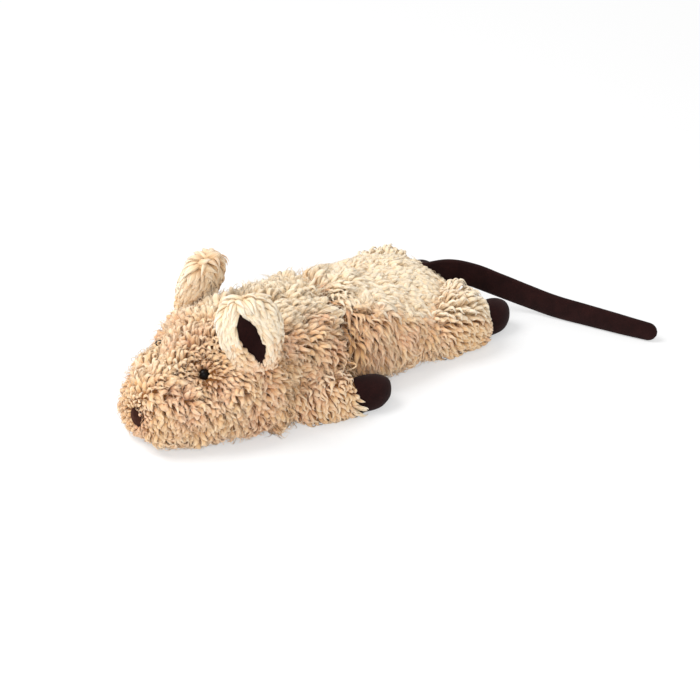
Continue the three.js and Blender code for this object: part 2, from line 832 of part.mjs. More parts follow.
const headOuter = head.geometry(headRings, formSides);
const smoothHead = new SoftForm(headPlaces, headShape);
const headHollow = grown(smoothHead.geometry(hollowRings, innerSides), -furDepth);
const earPlaces = [
  { seamX: earLeftX, leanIn: earLeanInLeft, leanBack: earLeanBackLeft },
  { seamX: earRightX, leanIn: earLeanInRight, leanBack: earLeanBackRight },
];
const headCut = bothWays(headOuter, 2 * seamGap);
const [leftEar, rightEar] = earPlaces.map((place) => makeEar(place, headCut));

const headSkin = allLess(solidFrom(headOuter), [
  behind(neckX - seamGap),
  neckBarrel(runningGap),
  solidFrom(headHollow).subtract(behind(neckX - neckRim)),
  leftEar.seat,
  mirrored(rightEar.seat),
  ...bothSides(eyeWell),
  noseWell,
]);
const headFill = allLess(solidFrom(grown(headHollow, -seamGap)), [
  behind(neckX - neckRim - seamGap),
  neckBarrel(runningGap + seamGap),
  ...bothSides(washerRoom),
  nose(2 * seamGap),
]);

// Finishes

const fleece = { color: '#d9bd98', roughness: 1 };
const suede = { color: '#2a1512', roughness: 0.8 };
const filling = { color: '#f1eee6', roughness: 1 };
const cotton = { color: '#b49a6a', roughness: 0.95 };
const blackPlastic = { color: '#0b0908', roughness: 0.15 };
const whitePlastic = { color: '#e8e6e0', roughness: 0.5 };

// The toy: a group for each body, standing at the pivot it turns on

const toy = new THREE.Group();

function bodyAt(pivot, hingeAxis = null) {
  const group = new THREE.Group();
  group.position.copy(pivot);
  group.userData.hingeAxis = hingeAxis;
  toy.add(group);
  return group;
}

function addPiece(group, name, solid, finish) {
  const geometry = geometryFrom(solid).translate(...group.position.clone().negate().toArray());
  const mesh = new THREE.Mesh(geometry, new THREE.MeshStandardMaterial({ ...finish, metalness: 0 }));
  mesh.name = name;
  group.add(mesh);
}

const upright = new THREE.Vector3(0, 0, 1);
const sideways = new THREE.Vector3(0, 1, 0);
const farSide = (vector) => new THREE.Vector3(vector.x, -vector.y, vector.z);

const torsoBody = bodyAt(new THREE.Vector3());
addPiece(torsoBody, 'torso_skin', onFloor(torsoSkin), fleece);
addPiece(torsoBody, 'torso_stuffing', torsoFill, filling);
addPiece(torsoBody, 'catnip_pouch', solidFrom(pouch.geometry(pouchRings, innerSides)), cotton);

const headBody = bodyAt(neckPivot, sideways);
addPiece(headBody, 'head_skin', onFloor(headSkin), fleece);
addPiece(headBody, 'head_stuffing', headFill, filling);
addPiece(headBody, 'nose', nose(0), suede);

['left', 'right'].forEach((sideName) => {
  const isLeft = sideName === 'left';
  const side = (solid) => (isLeft ? solid : mirrored(solid));
  const point = (vector) => (isLeft ? vector : farSide(vector));
  // outward turns are positive on both sides
  const axis = (vector) => (isLeft ? vector : farSide(vector).negate());
  const named = (piece) => piece.replace('SIDE', sideName);

  addPiece(headBody, named('eye_SIDE'), side(eye), blackPlastic);
  addPiece(headBody, named('eye_washer_SIDE'), side(washer), whitePlastic);

  const ear = isLeft ? leftEar : rightEar;
  const earBody = bodyAt(point(ear.pivot), axis(ear.seamLine));
  addPiece(earBody, named('ear_SIDE_back'), side(ear.back), fleece);
  addPiece(earBody, named('ear_SIDE_lining'), side(ear.lining), suede);

  const limbs = { arm: [arm, 'paw'], leg: [isLeft ? leftLeg : rightLeg, 'foot'] };
  Object.entries(limbs).forEach(([limbName, [limb, endName]]) => {
    const limbBody = bodyAt(point(limb.pivot), axis(upright.clone().negate()));
    addPiece(limbBody, named(limbName + '_SIDE_sleeve'), side(limb.sleeve), fleece);
    addPiece(limbBody, named(limbName + '_SIDE_' + endName), side(limb.end), suede);
    addPiece(limbBody, named(limbName + '_SIDE_stuffing'), side(limb.stuffing), filling);
  });
});

const tailBody = bodyAt(tailRoot, upright);
const tailAngles = [tailSwingNear, 0, -half(tailSwingFar), -tailSwingFar];
const tailStrip = allLess(solidFrom(tailBand()), torsoSweep(tailRoot, tailAngles));
addPiece(tailBody, 'tail', tailStrip.add(tailSeat(0)), suede);

export default toy;
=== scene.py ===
"""A plush mouse for a cat: long curly fleece over a light filling, with suede paws, feet, nose,
ear linings and tail, and button eyes. The tables are in millimetres, and every mesh is in metres."""
import json
import math

import bmesh
import bpy
import numpy as np
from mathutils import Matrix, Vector
from mathutils.bvhtree import BVHTree


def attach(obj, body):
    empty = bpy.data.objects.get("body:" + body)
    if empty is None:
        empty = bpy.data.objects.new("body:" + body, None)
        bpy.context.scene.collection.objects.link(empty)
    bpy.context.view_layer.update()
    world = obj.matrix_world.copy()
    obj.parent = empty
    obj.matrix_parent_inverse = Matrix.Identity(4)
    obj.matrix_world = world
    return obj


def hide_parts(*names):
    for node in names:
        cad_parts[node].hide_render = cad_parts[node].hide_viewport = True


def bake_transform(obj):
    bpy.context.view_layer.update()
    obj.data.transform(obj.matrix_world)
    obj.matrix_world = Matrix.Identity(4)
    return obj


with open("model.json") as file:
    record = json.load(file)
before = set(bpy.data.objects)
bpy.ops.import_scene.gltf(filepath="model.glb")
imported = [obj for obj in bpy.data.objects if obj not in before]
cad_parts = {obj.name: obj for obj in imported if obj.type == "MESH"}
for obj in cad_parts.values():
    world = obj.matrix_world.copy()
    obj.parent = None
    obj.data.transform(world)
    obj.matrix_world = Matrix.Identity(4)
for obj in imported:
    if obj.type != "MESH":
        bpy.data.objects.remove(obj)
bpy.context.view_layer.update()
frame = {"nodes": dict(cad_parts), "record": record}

MM = 0.001
UP = np.array([0.0, 0.0, 1.0])
BACK = np.array([1.0, 0.0, 0.0])
ASIDE = np.array([0.0, 1.0, 0.0])
SIDES = {"left": -1, "right": 1}


def placed(name, data):
    """A new object in the scene."""
    found = bpy.data.objects.new(name, data)
    bpy.context.scene.collection.objects.link(found)
    return found


# Camera: the photograph's viewing angle

CAMERA_TURN = math.radians(41.29)
CAMERA_ELEVATION = math.radians(31)
CAMERA_DISTANCE = 1.08
CAMERA_LENS, CAMERA_SENSOR = 88.9, 36
CAMERA_TARGET = Vector((0.02504, -0.02398, 0.02))


def add_camera():
    camera = placed("camera", bpy.data.cameras.new("camera"))
    camera.data.lens = CAMERA_LENS
    camera.data.sensor_width = CAMERA_SENSOR
    level = math.cos(CAMERA_ELEVATION)
    drop = -math.sin(CAMERA_ELEVATION)
    forward = Vector((math.sin(CAMERA_TURN) * level, math.cos(CAMERA_TURN) * level, drop))
    camera.location = CAMERA_TARGET - forward * CAMERA_DISTANCE
    camera.rotation_mode = "QUATERNION"
    camera.rotation_quaternion = forward.to_track_quat("-Z", "Y")
    bpy.context.scene.camera = camera


add_camera()


# Materials


def colour(code):
    """An sRGB hex value as a linear colour with alpha."""
    parts = [int(code[i : i + 2], 16) / 255 for i in (1, 3, 5)]
    linear = [p / 12.92 if p <= 0.04045 else ((p + 0.055) / 1.055) ** 2.4 for p in parts]
    return (*linear, 1.0)


def add(tree, kind, values=None, stops=(), **settings):
    """Adds a node with its settings. values gives each input a number, a colour or a socket to link, and
    stops gives a colour ramp its places and colours."""
    node = tree.nodes.new(kind)
    for name, value in settings.items():
        setattr(node, name, value)
    for name, value in (values or {}).items():
        if isinstance(value, bpy.types.NodeSocket):
            tree.links.new(value, node.inputs[name])
        else:
            node.inputs[name].default_value = value
    if stops:
        band = node.color_ramp.elements
        while len(band) < len(stops):
            band.new(0.5)
        for element, (place, code) in zip(band, stops):
            element.position = place
            element.color = colour(code)
    return node


# Where a Mix node has its factor, its two colours and the colour that comes out
FACTOR, FIRST, SECOND, MIXED = 0, 6, 7, 2


def new_material(name, base, roughness, bump=None, **shader):
    """base is a colour, or a function of the tree that gives the sockets of a colour and a height.
    bump is the depth of the height's relief in millimetres."""
    material = bpy.data.materials.new(name)
    material.use_nodes = True
    tree = material.node_tree
    surface = tree.nodes["Principled BSDF"]
    colour_of, height = base(tree) if callable(base) else (base, None)
    if isinstance(colour_of, bpy.types.NodeSocket):
        tree.links.new(colour_of, surface.inputs["Base Color"])
    else:
        surface.inputs["Base Color"].default_value = colour_of
    surface.inputs["Roughness"].default_value = roughness
    for key, value in shader.items():
        surface.inputs[key.replace("_", " ").title().replace("Ior", "IOR")].default_value = value
    if height is not None:
        relief = add(tree, "ShaderNodeBump", {"Height": height, "Distance": bump * MM, "Strength": 1.0})
        tree.links.new(relief.outputs["Normal"], surface.inputs["Normal"])
    return material


def pile_look(tree):
    """Each lock has painted shade at its root and is pale at its tip, with fine strands along it."""
    along, tint, pale, shade = (
        add(tree, "ShaderNodeAttribute", attribute_name=label).outputs["Fac"]
        for label in ("along", "tint", "pale", "shade")
    )
    # painted shade: deep in a fold a lock keeps the darker colour of its root all along
    kept = add(tree, "ShaderNodeMath", {0: 1.0, 1: shade}, operation="SUBTRACT").outputs[0]
    along = add(tree, "ShaderNodeMath", {0: along, 1: kept}, operation="MULTIPLY").outputs[0]
    # the colours from root to tip where the pile is tan, rosy and cream, the cream mostly painted light
    tan, rosy, cream = (
        add(tree, "ShaderNodeValToRGB", {"Fac": along}, stops).outputs["Color"]
        for stops in (
            [(0.0, "#bb8048"), (0.3, "#e4b882"), (0.6, "#f5d5aa"), (1.0, "#fde9cc")],
            [(0.0, "#b97a50"), (0.3, "#e3ad83"), (0.6, "#f3caa7"), (1.0, "#fbdfc3")],
            [(0.0, "#ecd0a0"), (0.3, "#fae5c2"), (0.6, "#fff1d8"), (1.0, "#fff7e6")],
        )
    )
    mixed = add(tree, "ShaderNodeMix", {FACTOR: tint, FIRST: tan, SECOND: rosy}, data_type="RGBA")
    # mostly painted light: the pile turns cream where it is pale
    toned = {FACTOR: pale, FIRST: mixed.outputs[MIXED], SECOND: cream}
    mixed = add(tree, "ShaderNodeMix", toned, data_type="RGBA")
    # strands 0.6 mm wide and 8 mm long, coarser than the single fibres, which are too fine to show
    strand = add(tree, "ShaderNodeUVMap", uv_map="strand").outputs["UV"]
    stretched = add(tree, "ShaderNodeMapping", {"Vector": strand, "Scale": (1.6, 0.12, 1.0)})
    strands = {"Vector": stretched.outputs["Vector"], "Scale": 1.0, "Detail": 3.0}
    streak = add(tree, "ShaderNodeTexNoise", strands).outputs["Fac"]
    lines = add(tree, "ShaderNodeValToRGB", {"Fac": streak}, [(0.3, "#e2d3c0"), (0.6, "#ffffff")])
    streaked = {FACTOR: 0.8, FIRST: mixed.outputs[MIXED], SECOND: lines.outputs["Color"]}
    mixed = add(tree, "ShaderNodeMix", streaked, data_type="RGBA", blend_type="MULTIPLY")
    return mixed.outputs[MIXED], streak


def backing_look(tree):
    """The knit that the pile grows from: tan, cream with painted light where the pile over it has it, and
    dark brown with painted shade in and behind the fold.
    """
    place = add(tree, "ShaderNodeTexCoord").outputs["Object"]
    # knitted loops 1.6 mm apart
    loops = add(tree, "ShaderNodeTexVoronoi", {"Vector": place, "Scale": 1 / (1.6 * MM)}).outputs["Distance"]
    tan, cream = (
        add(tree, "ShaderNodeValToRGB", {"Fac": loops}, stops).outputs["Color"]
        for stops in ([(0.0, "#c9935a"), (0.6, "#a9713c")], [(0.0, "#f6e4c2"), (0.6, "#e6cda2")])
    )
    pale, shade = (
        add(tree, "ShaderNodeAttribute", attribute_name=label).outputs["Fac"] for label in ("pale", "shade")
    )
    mixed = add(tree, "ShaderNodeMix", {FACTOR: pale, FIRST: tan, SECOND: cream}, data_type="RGBA")
    # painted shade: dark brown in and just behind the fold at the waist
    painted_shade = {FACTOR: shade, FIRST: mixed.outputs[MIXED], SECOND: colour("#6a4424")}
    return add(tree, "ShaderNodeMix", painted_shade, data_type="RGBA").outputs[MIXED], loops


def suede_look(tree):
    """A brushed nap: nearly black brown, a little lighter and redder where the nap lies the other way."""
    place = add(tree, "ShaderNodeTexCoord").outputs["Object"]
    # patches of nap 9 mm across, and tufts half a millimetre across, coarser than its single fibres
    shades = []
    for size, detail, stops in (
        (9, 4.0, [(0.3, "#200a09"), (0.7, "#2f1412")]),
        (0.5, 2.0, [(0.3, "#8c8484"), (0.7, "#ffffff")]),
    ):
        texture = {"Vector": place, "Scale": 1 / (size * MM), "Detail": detail}
        nap = add(tree, "ShaderNodeTexNoise", texture).outputs["Fac"]
        shades.append(add(tree, "ShaderNodeValToRGB", {"Fac": nap}, stops).outputs["Color"])
    grained = {FACTOR: 0.7, FIRST: shades[0], SECOND: shades[1]}
    mixed = add(tree, "ShaderNodeMix", grained, data_type="RGBA", blend_type="MULTIPLY")
    return mixed.outputs[MIXED], nap


def nose_look(tree):
    """The same suede, worn browner and paler in patches of 6 mm, which also stand a little higher."""
    place = add(tree, "ShaderNodeTexCoord").outputs["Object"]
    patches = {"Vector": place, "Scale": 1 / (6 * MM), "Detail": 3.0}
    toned = add(tree, "ShaderNodeTexNoise", patches).outputs["Fac"]
    shades = [(0.35, "#210b07"), (0.65, "#4b2a20")]
    return add(tree, "ShaderNodeValToRGB", {"Fac": toned}, shades).outputs["Color"], toned


def filling_look(tree):
    """Tufts of tangled fibre 3 mm across."""
    place = add(tree, "ShaderNodeTexCoord").outputs["Object"]
    tangle = {"Vector": place, "Scale": 1 / (3 * MM), "Detail": 6.0, "Distortion": 2.0}
    fibre = add(tree, "ShaderNodeTexNoise", tangle).outputs["Fac"]
    shades = [(0.3, "#ddd8cd"), (0.7, "#fbfaf6")]
    return add(tree, "ShaderNodeValToRGB", {"Fac": fibre}, shades).outputs["Color"], fibre


def cotton_look(tree):
    """Threads that cross."""
    place = add(tree, "ShaderNodeTexCoord").outputs["Object"]
    # A wave of scale 1 repeats every 2 pi / 20 of a unit, so these threads are drawn 3.1 mm apart.
    # That is coarser than real cotton, whose threads are too fine to show.
    threads = {"Vector": place, "Scale": 1 / (20 * 0.5 * MM), "Distortion": 0.4}
    along, across = (
        add(tree, "ShaderNodeTexWave", threads, bands_direction=direction).outputs["Fac"]
        for direction in ("X", "Y")
    )
    weave = add(tree, "ShaderNodeMath", {0: along, 1: across}, operation="MAXIMUM").outputs[0]
    shades = [(0.2, "#8f7a4e"), (0.9, "#c3ad7c")]
    return add(tree, "ShaderNodeValToRGB", {"Fac": weave}, shades).outputs["Color"], weave


# Long curly polyester fleece, knitted and tumbled into locks: soft, matte, with a bright edge
PILE_SHEEN = {"sheen_weight": 0.3, "sheen_roughness": 0.6, "specular_ior_level": 0.2}
PILE = new_material("Curly_polyester_fleece_pile", pile_look, 0.95, 0.35, **PILE_SHEEN)
# The knitted ground of the fleece: dull, and seen only as shade between the locks
BACKING = new_material("Knitted_polyester_backing", backing_look, 1.0, 0.4)
# Brushed microsuede: very dark, with a faint sheen at grazing angles
SUEDE_SHEEN = {"sheen_weight": 0.06, "specular_ior_level": 0.1}
SUEDE = new_material("Brushed_polyester_suede", suede_look, 0.85, 0.12, **SUEDE_SHEEN)
# The same suede rubbed by use: dull, with browner and paler patches
NOSE_SUEDE = new_material("Worn_polyester_suede", nose_look, 0.85, 0.12, specular_ior_level=0.1)
# Moulded and polished: a small sharp highlight
EYE_PLASTIC = new_material("Polished_black_acrylic", colour("#090302"), 0.2, specular_ior_level=0.1)
# Blown and tangled: a dull, uneven white
FILLING = new_material("Loose_polyester_fibre_filling", filling_look, 1.0, 0.8)
# Woven: dull, with ribs where the threads cross
COTTON = new_material("Woven_cotton_pouch", cotton_look, 0.95, 0.15)
# Moulded and left as it is: a broad, soft shine
WASHER_PLASTIC = new_material("Moulded_white_polypropylene", colour("#e8e6e0"), 0.45)


# Forms: the same lofted shapes as the solids

TORSO_LENGTH, TORSO_WIDTH, TORSO_HEIGHT = 164.0, 100.0, 60.0
TUFT_HEIGHT, TUFTS_ROUND, TUFT_FLOOR_GAP = 1.3, 8, 8.0
HEAD_TUFT_ROWS, TORSO_TUFT_ROWS = 15, 18
# How square a form is above its girth: a little more than an ellipse
ROUND = 2.1


def spline(points, steps):
    """A smooth line through points of any number of columns, steps to each stretch."""
    points = np.asarray(points, float)
    padded = np.vstack([2 * points[0] - points[1], points, 2 * points[-1] - points[-2]])
    share = (np.arange(steps) / steps)[:, None]
    found = []
    for p0, p1, p2, p3 in zip(padded, padded[1:], padded[2:], padded[3:]):
        near, far = (p2 - p0) / 2, (p3 - p1) / 2
        square, cube = 3 * (p2 - p1) - 2 * near - far, 2 * (p1 - p2) + near + far
        found.append(p1 + near * share + square * share**2 + cube * share**3)
    return np.vstack([*found, points[-1:]])


def rounded(angle, squareness):
    """A point on a circle of radius 1 at squareness 2, and on a squarer curve above that."""

    def curve(value):
        return np.sign(value) * np.abs(value) ** (2 / squareness)

    return curve(np.cos(angle)), curve(np.sin(angle))


def turns_round(sides):
    """Equal turns round a ring, in radians."""
    return 2 * np.pi * np.arange(sides) / sides


class Form:
    """A form along X through places (x, half width, top, bottom). girth_share is how high its widest
    line lies, and lower is how square it is under that. slant is how far along X it is skewed for each
    millimetre to the side, and tufts is how many rows of tufts it has."""

    def __init__(self, places, girth_share=0.5, lower=ROUND, slant=None, tufts=0.0):
        line = spline(places, 40)
        self.x = np.maximum.accumulate(line[:, 0])
        self.steps = np.linspace(0, 1, len(line))
        self.width, self.top, self.bottom = np.maximum(line[:, 1], 0), line[:, 2], line[:, 3]
        self.girth_share, self.lower = girth_share, lower
        self.slant, self.tufts = slant or (lambda x: 0.0), tufts

    def at(self, x):
        return [np.interp(x, self.x, row) for row in (self.width, self.top, self.bottom)]

    def point(self, x, angle, tuft=0.0):
        width, top, bottom = self.at(x)
        girth = bottom + (top - bottom) * self.girth_share
        across, up = rounded(angle, ROUND if math.sin(angle) > 0 else self.lower)
        rise = top - girth if math.sin(angle) > 0 else girth - bottom
        place = np.array([x + width * across * self.slant(x), width * across, girth + up * rise])
        fade = min(1, max(0, place[2] / TUFT_FLOOR_GAP - 1)) * min(1, width / (TORSO_WIDTH / 2))
        out = tuft * fade * math.cos(TUFTS_ROUND * angle)
        return place + [0, out * math.cos(angle), out * math.sin(angle)]

    def normal(self, x, angle):
        ahead = self.point(x + 0.3, angle) - self.point(x - 0.3, angle)
        round_it = self.point(x, angle + 0.02) - self.point(x, angle - 0.02)
        found = np.cross(round_it, ahead)
        return found / np.linalg.norm(found)

    def holds(self, points, grow=0.0):
        """Which points lie inside the form when it is grown by millimetres."""
        x, y, z = points.T
        width, top, bottom = self.at(np.clip(x, self.x[0], self.x[-1]))
        girth = bottom + (top - bottom) * self.girth_share
        reach = np.where(z > girth, top - girth, girth - bottom) + grow
        power = np.where(z > girth, ROUND, self.lower)
        ends = np.maximum(self.x[0] - x, x - self.x[-1])
        across = np.abs(y) / np.maximum(width + grow, 0.01)
        return (across**power + (np.abs(z - girth) / np.maximum(reach, 0.01)) ** power < 1) & (ends < grow)

    def rings(self, count, sides):
        """Rings of points from end to end, closer together at the ends."""
        shares = (1 - np.cos(np.pi * np.arange(1, count) / count)) / 2
        angles = turns_round(sides)
        rings = []
        for share in shares:
            # tufts stand out and lie back by turns along the form
            row = math.acos(1 - 2 * share) / math.pi * self.tufts
            tuft = TUFT_HEIGHT * math.cos(math.pi * row) if self.tufts else 0.0
            x = np.interp(share, self.steps, self.x)
            rings.append([self.point(x, angle, tuft) for angle in angles])
        tips = [np.array([x, 0, (self.at(x)[1] + self.at(x)[2]) / 2]) for x in (self.x[0], self.x[-1])]
        return np.array(rings), tips


def skin(rings, tips):
    """Vertices and faces of a closed skin through rings, with a point at each end."""
    count, sides = rings.shape[:2]
    vertices = [tips[0], *rings.reshape(-1, 3), tips[1]]
    last = len(vertices) - 1
    faces = []
    for j in range(sides):
        k = (j + 1) % sides
        faces.append((0, 1 + k, 1 + j))
        for i in range(count - 1):
            here, there = 1 + i * sides, 1 + (i + 1) * sides
            faces.append((here + j, here + k, there + k, there + j))
        end = 1 + (count - 1) * sides
        faces.append((last, end + j, end + k))
    return np.array(vertices), faces


def new_piece(name, vertices, faces, material):
    """A piece from vertices in millimetres."""
    mesh = bpy.data.meshes.new(name)
    mesh.from_pydata([tuple(v) for v in np.asarray(vertices) * MM], [], [tuple(f) for f in faces])
    mesh.update()
    piece = placed(name, mesh)
    mesh.materials.append(material)
    mesh.shade_smooth()
    return piece


def form_piece(name, forms, material, count=48, sides=48):
    vertices, faces = [], []
    for form in forms:
        more, corners = skin(*form.rings(count, sides))
        faces += [tuple(c + len(vertices) for c in face) for face in corners]
        vertices += list(more)
    return new_piece(name, vertices, faces, material)


def apply_all(piece):
    """Applies the piece's modifiers."""
    evaluated = piece.evaluated_get(bpy.context.evaluated_depsgraph_get())
    mesh = bpy.data.meshes.new_from_object(evaluated)
    piece.modifiers.clear()
    old, piece.data = piece.data, mesh
    bpy.data.meshes.remove(old)
    mesh.shade_smooth()


def fuse(piece, voxel, rounds=4):
    """Joins the piece's closed shells into one skin, and softens it."""
    piece.modifiers.new("fuse", "REMESH").voxel_size = voxel * MM
    soften = piece.modifiers.new("soften", "SMOOTH")
    soften.factor, soften.iterations = 0.5, rounds
    apply_all(piece)


def vertex_rows(mesh, what):
    found = np.empty(len(mesh.vertices) * 3, np.float32)
    mesh.vertices.foreach_get(what, found)
    return found.reshape(-1, 3).astype(float)


def points_of(mesh):
    return vertex_rows(mesh, "co")


def normals_of(mesh):
    return vertex_rows(mesh, "normal")


def set_points(mesh, points):
    mesh.vertices.foreach_set("co", points.astype(np.float32).ravel())
    mesh.update()


def bell(values, middle, reach):
    """1 at the middle, and less to either side of it over the reach."""
    return np.exp(-(((values - middle) / reach) ** 2))


def grows(values, start, run):
    """0 up to the start and 1 from a run further on. With a run below zero it grows the other way."""
    return np.clip((values - start) / run, 0, 1)


def mark(mesh, label, values):
    """Gives each vertex a number that the materials read."""
    mesh.attributes.new(label, "FLOAT", "POINT").data.foreach_set("value", np.asarray(values, np.float32))


def swell(piece, by, floor):
    """Moves the skin out along its normals by millimetres, but never under the floor height."""
    mesh = piece.data
    points = points_of(mesh) + normals_of(mesh) * by * MM
    points[:, 2] = np.maximum(points[:, 2], floor * MM)
    set_points(mesh, points)


# The body's tables

FLOOR_CUT = 0.5
LYING = 2.7
NECK_X = -42.0
HEAD_LENGTH, HEAD_WIDTH, HEAD_HEIGHT = 83.0, 94.0, 68.0
SNOUT_X = NECK_X - HEAD_LENGTH
HEAD_SHARES = [
    # along from the snout, half width, top, bottom
    (0, 0, 0.37, 0.36),
    (0.02, 0.2, 0.48, 0.22),
    (0.065, 0.37, 0.57, 0.1),
    (0.15, 0.5, 0.645, 0.02),
    (0.27, 0.615, 0.71, 0),
    (0.41, 0.74, 0.79, 0),
    (0.56, 0.87, 0.88, 0),
    (0.71, 0.98, 0.965, 0),
    (0.86, 1, 1, 0),
    (1, 0.95, 0.97, 0),
]
CHEST_X = NECK_X - 10
WAIST_SLANT, WAIST_SHARE, WAIST_REACH = 0.26, 0.42, 26.0
WAIST_X = CHEST_X + WAIST_SHARE * TORSO_LENGTH
RUMP_X = CHEST_X + TORSO_LENGTH
TORSO_SHARES = [
    # along from the chest's front, half width, top, bottom
    (0, 0, 0.6, 0.45),
    (0.02, 0.5, 0.86, 0.12),
    (0.06, 0.8, 0.98, 0.02),
    (0.15, 0.84, 1.0, 0),
    (0.27, 0.91, 0.985, 0),
    (0.36, 0.93, 0.955, 0),
    (WAIST_SHARE, 0.87, 0.87, 0),
    (0.475, 0.92, 0.92, 0),
    (0.56, 0.98, 0.94, 0),
    (0.67, 1, 0.935, 0),
    (0.79, 0.97, 0.92, 0),
    (0.89, 0.85, 0.87, 0),
    (0.955, 0.66, 0.76, 0.02),
    (0.985, 0.42, 0.66, 0.12),
    (1, 0, 0.5, 0.44),
]


def rows_from(shares, start, length, width, height):
    """A form's places in millimetres."""
    return [
        (start + along * length, across * width, top * height, bottom * height - FLOOR_CUT)
        for along, across, top, bottom in shares
    ]


head_places = rows_from(HEAD_SHARES, SNOUT_X, HEAD_LENGTH, HEAD_WIDTH / 2, HEAD_HEIGHT)
head_places.append((NECK_X + 9, 0, HEAD_HEIGHT / 2, HEAD_HEIGHT / 2))
HEAD = Form(head_places, 0.34, LYING, tufts=HEAD_TUFT_ROWS)


def waist_slant(x):
    return WAIST_SLANT * math.exp(-(((x - WAIST_X) / WAIST_REACH) ** 2))


torso_places = rows_from(TORSO_SHARES, CHEST_X, TORSO_LENGTH, TORSO_WIDTH / 2, TORSO_HEIGHT)
TORSO = Form(torso_places, 0.36, LYING, slant=waist_slant, tufts=TORSO_TUFT_ROWS)

# How far the backing lies under the solids' surface, which is the middle of the pile
BODY_PILE = 4.4
LIMB_PILE = 3.2
BELLY_PILE = 1.2
EAR_PILE = 1.6
# The size of the cubes that a remesh works in
BODY_VOXEL, EAR_VOXEL, FILLING_VOXEL, POUCH_VOXEL = 2.2, 1.1, 2.0, 1.0
FOLD_REACH, FOLD_DEPTH = 4.5, 6.0
# How far under a limb's or the body's pile the other one's pile still grows, for when the limb swings
HIDDEN_PILE = 6
# How far from a limb the body's pile stands higher
BESIDE_LIMB = 4.0

body = form_piece("body_backing", [HEAD, TORSO], BACKING, 64, 64)
fuse(body, BODY_VOXEL)
swell(body, -BODY_PILE, BELLY_PILE)


def waist_offset(places):
    """How far behind the slanting fold at the waist each place lies, in millimetres."""
    return places[:, 0] - WAIST_X - WAIST_SLANT * places[:, 1]


def fold_side(places):
    """1 where the fold is deep: on the near side, below the back."""
    return grows(places[:, 1], 8, -16) * grows(places[:, 2], 56, -8)


def near_fold(places, behind, reach):
    """On the fold's deep side: 1 along a line so far behind the fold, and less to either side of that."""
    return fold_side(places) * bell(waist_offset(places), behind, reach)


def draw_in(piece, reach, depth):
    """Pulls the skin in along the fold at the waist."""
    mesh = piece.data
    points, normals = points_of(mesh), normals_of(mesh)
    amount = depth * bell(waist_offset(points / MM), 0, reach) * np.clip(normals[:, 2] + 1, 0, 1)
    # away from its deep side the fold has 0.3 of the depth
    amount = amount * (0.3 + 0.7 * fold_side(points / MM))
    set_points(mesh, points - normals * amount[:, None] * MM)


draw_in(body, FOLD_REACH, FOLD_DEPTH)

# Limbs

LIMB_GIRTH = 0.42
END_SHARES = [
    # along from the cuff in lengths, half width in radii, top and bottom in twice the radius
    (-0.4, 0, 0.5, 0.5),
    (-0.34, 0.6, 0.8, 0.2),
    (-0.1, 0.86, 0.94, 0),
    (0.3, 1, 1, 0),
    (0.62, 0.92, 0.98, 0.05),
    (0.86, 0.66, 0.88, 0.22),
    (0.97, 0.35, 0.76, 0.38),
    (1, 0, 0.57, 0.55),
]


def sleeve_shares(length, radius, cuff):
    cuff_share = cuff / radius
    return [
        (-radius / length, 0, 0.5, 0.5),
        (-0.85 * radius / length, 0.45, 0.72, 0.24),
        (0, 0.92, 0.95, 0),
        (0.42, 1, 1, 0),
        (0.74, 0.94, 0.95, 0),
        (1, cuff_share, cuff_share, 0),
        (1 + 0.25 * cuff / length, 0.6 * cuff_share, 0.8 * cuff_share, 0.2 * cuff_share),
        (1 + 0.3 * cuff / length, 0, 0.5 * cuff_share, 0.5 * cuff_share),
    ]


# kind and side: pivot x, inset from the torso's side, splay in degrees, radius, height, sleeve length, cuff,
# end length, end radius
LIMBS = {
    ("arm", "left"): (-26, 1.5, 22.5, 14, 28, 32, 11.5, 23, 10.5),
    ("arm", "right"): (-26, 1.5, 22.5, 14, 28, 32, 11.5, 23, 10.5),
    ("leg", "left"): (85, 13, 8, 20.5, 34, 41, 14.5, 21, 11),
    ("leg", "right"): (85, 18, 2, 20.5, 34, 41, 14.5, 21, 11),
}


def turned_about_z(points, angle):
    c, s = math.cos(angle), math.sin(angle)
    return np.asarray(points) @ np.array([[c, s, 0], [-s, c, 0], [0, 0, 1]])


limbs = {}
for (kind, side_name), sizes in LIMBS.items():
    x, inset, splay, radius, height, length, cuff, end_length, end_radius = sizes
    side = SIDES[side_name]
    pivot = np.array([x, side * (TORSO.at(x)[0] - inset), 0])
    angle = side * math.radians(splay)
    end_name = "paw" if kind == "arm" else "foot"
    sleeve_places = rows_from(sleeve_shares(length, radius, cuff), 0, length, radius, height)
    end_places = rows_from(END_SHARES, length, end_length, end_radius, 2 * end_radius)
    sleeve_form, end_form = Form(sleeve_places, LIMB_GIRTH, LYING), Form(end_places, LIMB_GIRTH, LYING)
    sleeve = form_piece(f"{kind}_{side_name}_backing", [sleeve_form], BACKING, 36, 36)
    end = form_piece(f"{kind}_{side_name}_{end_name}_suede", [end_form], SUEDE, 40, 40)
    for piece in (sleeve, end):
        set_points(piece.data, (turned_about_z(points_of(piece.data) / MM, angle) + pivot) * MM)
    swell(sleeve, -LIMB_PILE, BELLY_PILE)
    swell(end, 0, 0)
    limbs[kind, side_name] = {
        "sleeve": sleeve,
        "end": end,
        "form": sleeve_form,
        "length": length,
        "angle": angle,
        "pivot": pivot,
        "end_name": end_name,
    }

# Ears

EAR_WIDTH, EAR_HEIGHT, EAR_THICKNESS, EAR_CUP_DEPTH = 37.0, 47.0, 17.0, 6.5
EAR_SHARES = [
    # up, half width, half thickness
    (-0.1, 0, 0),
    (-0.06, 0.42, 0.5),
    (0.1, 0.72, 0.8),
    (0.35, 0.93, 0.95),
    (0.6, 1, 1),
    (0.8, 0.86, 0.86),
    (0.94, 0.52, 0.55),
    (1, 0, 0),
]
EAR_CUP_SHARES = [
    (0.04, 0, 0),
    (0.1, 0.2, 0.35),
    (0.3, 0.42, 0.8),
    (0.5, 0.5, 1),
    (0.7, 0.42, 0.8),
    (0.82, 0.2, 0.4),
    (0.87, 0, 0),
]
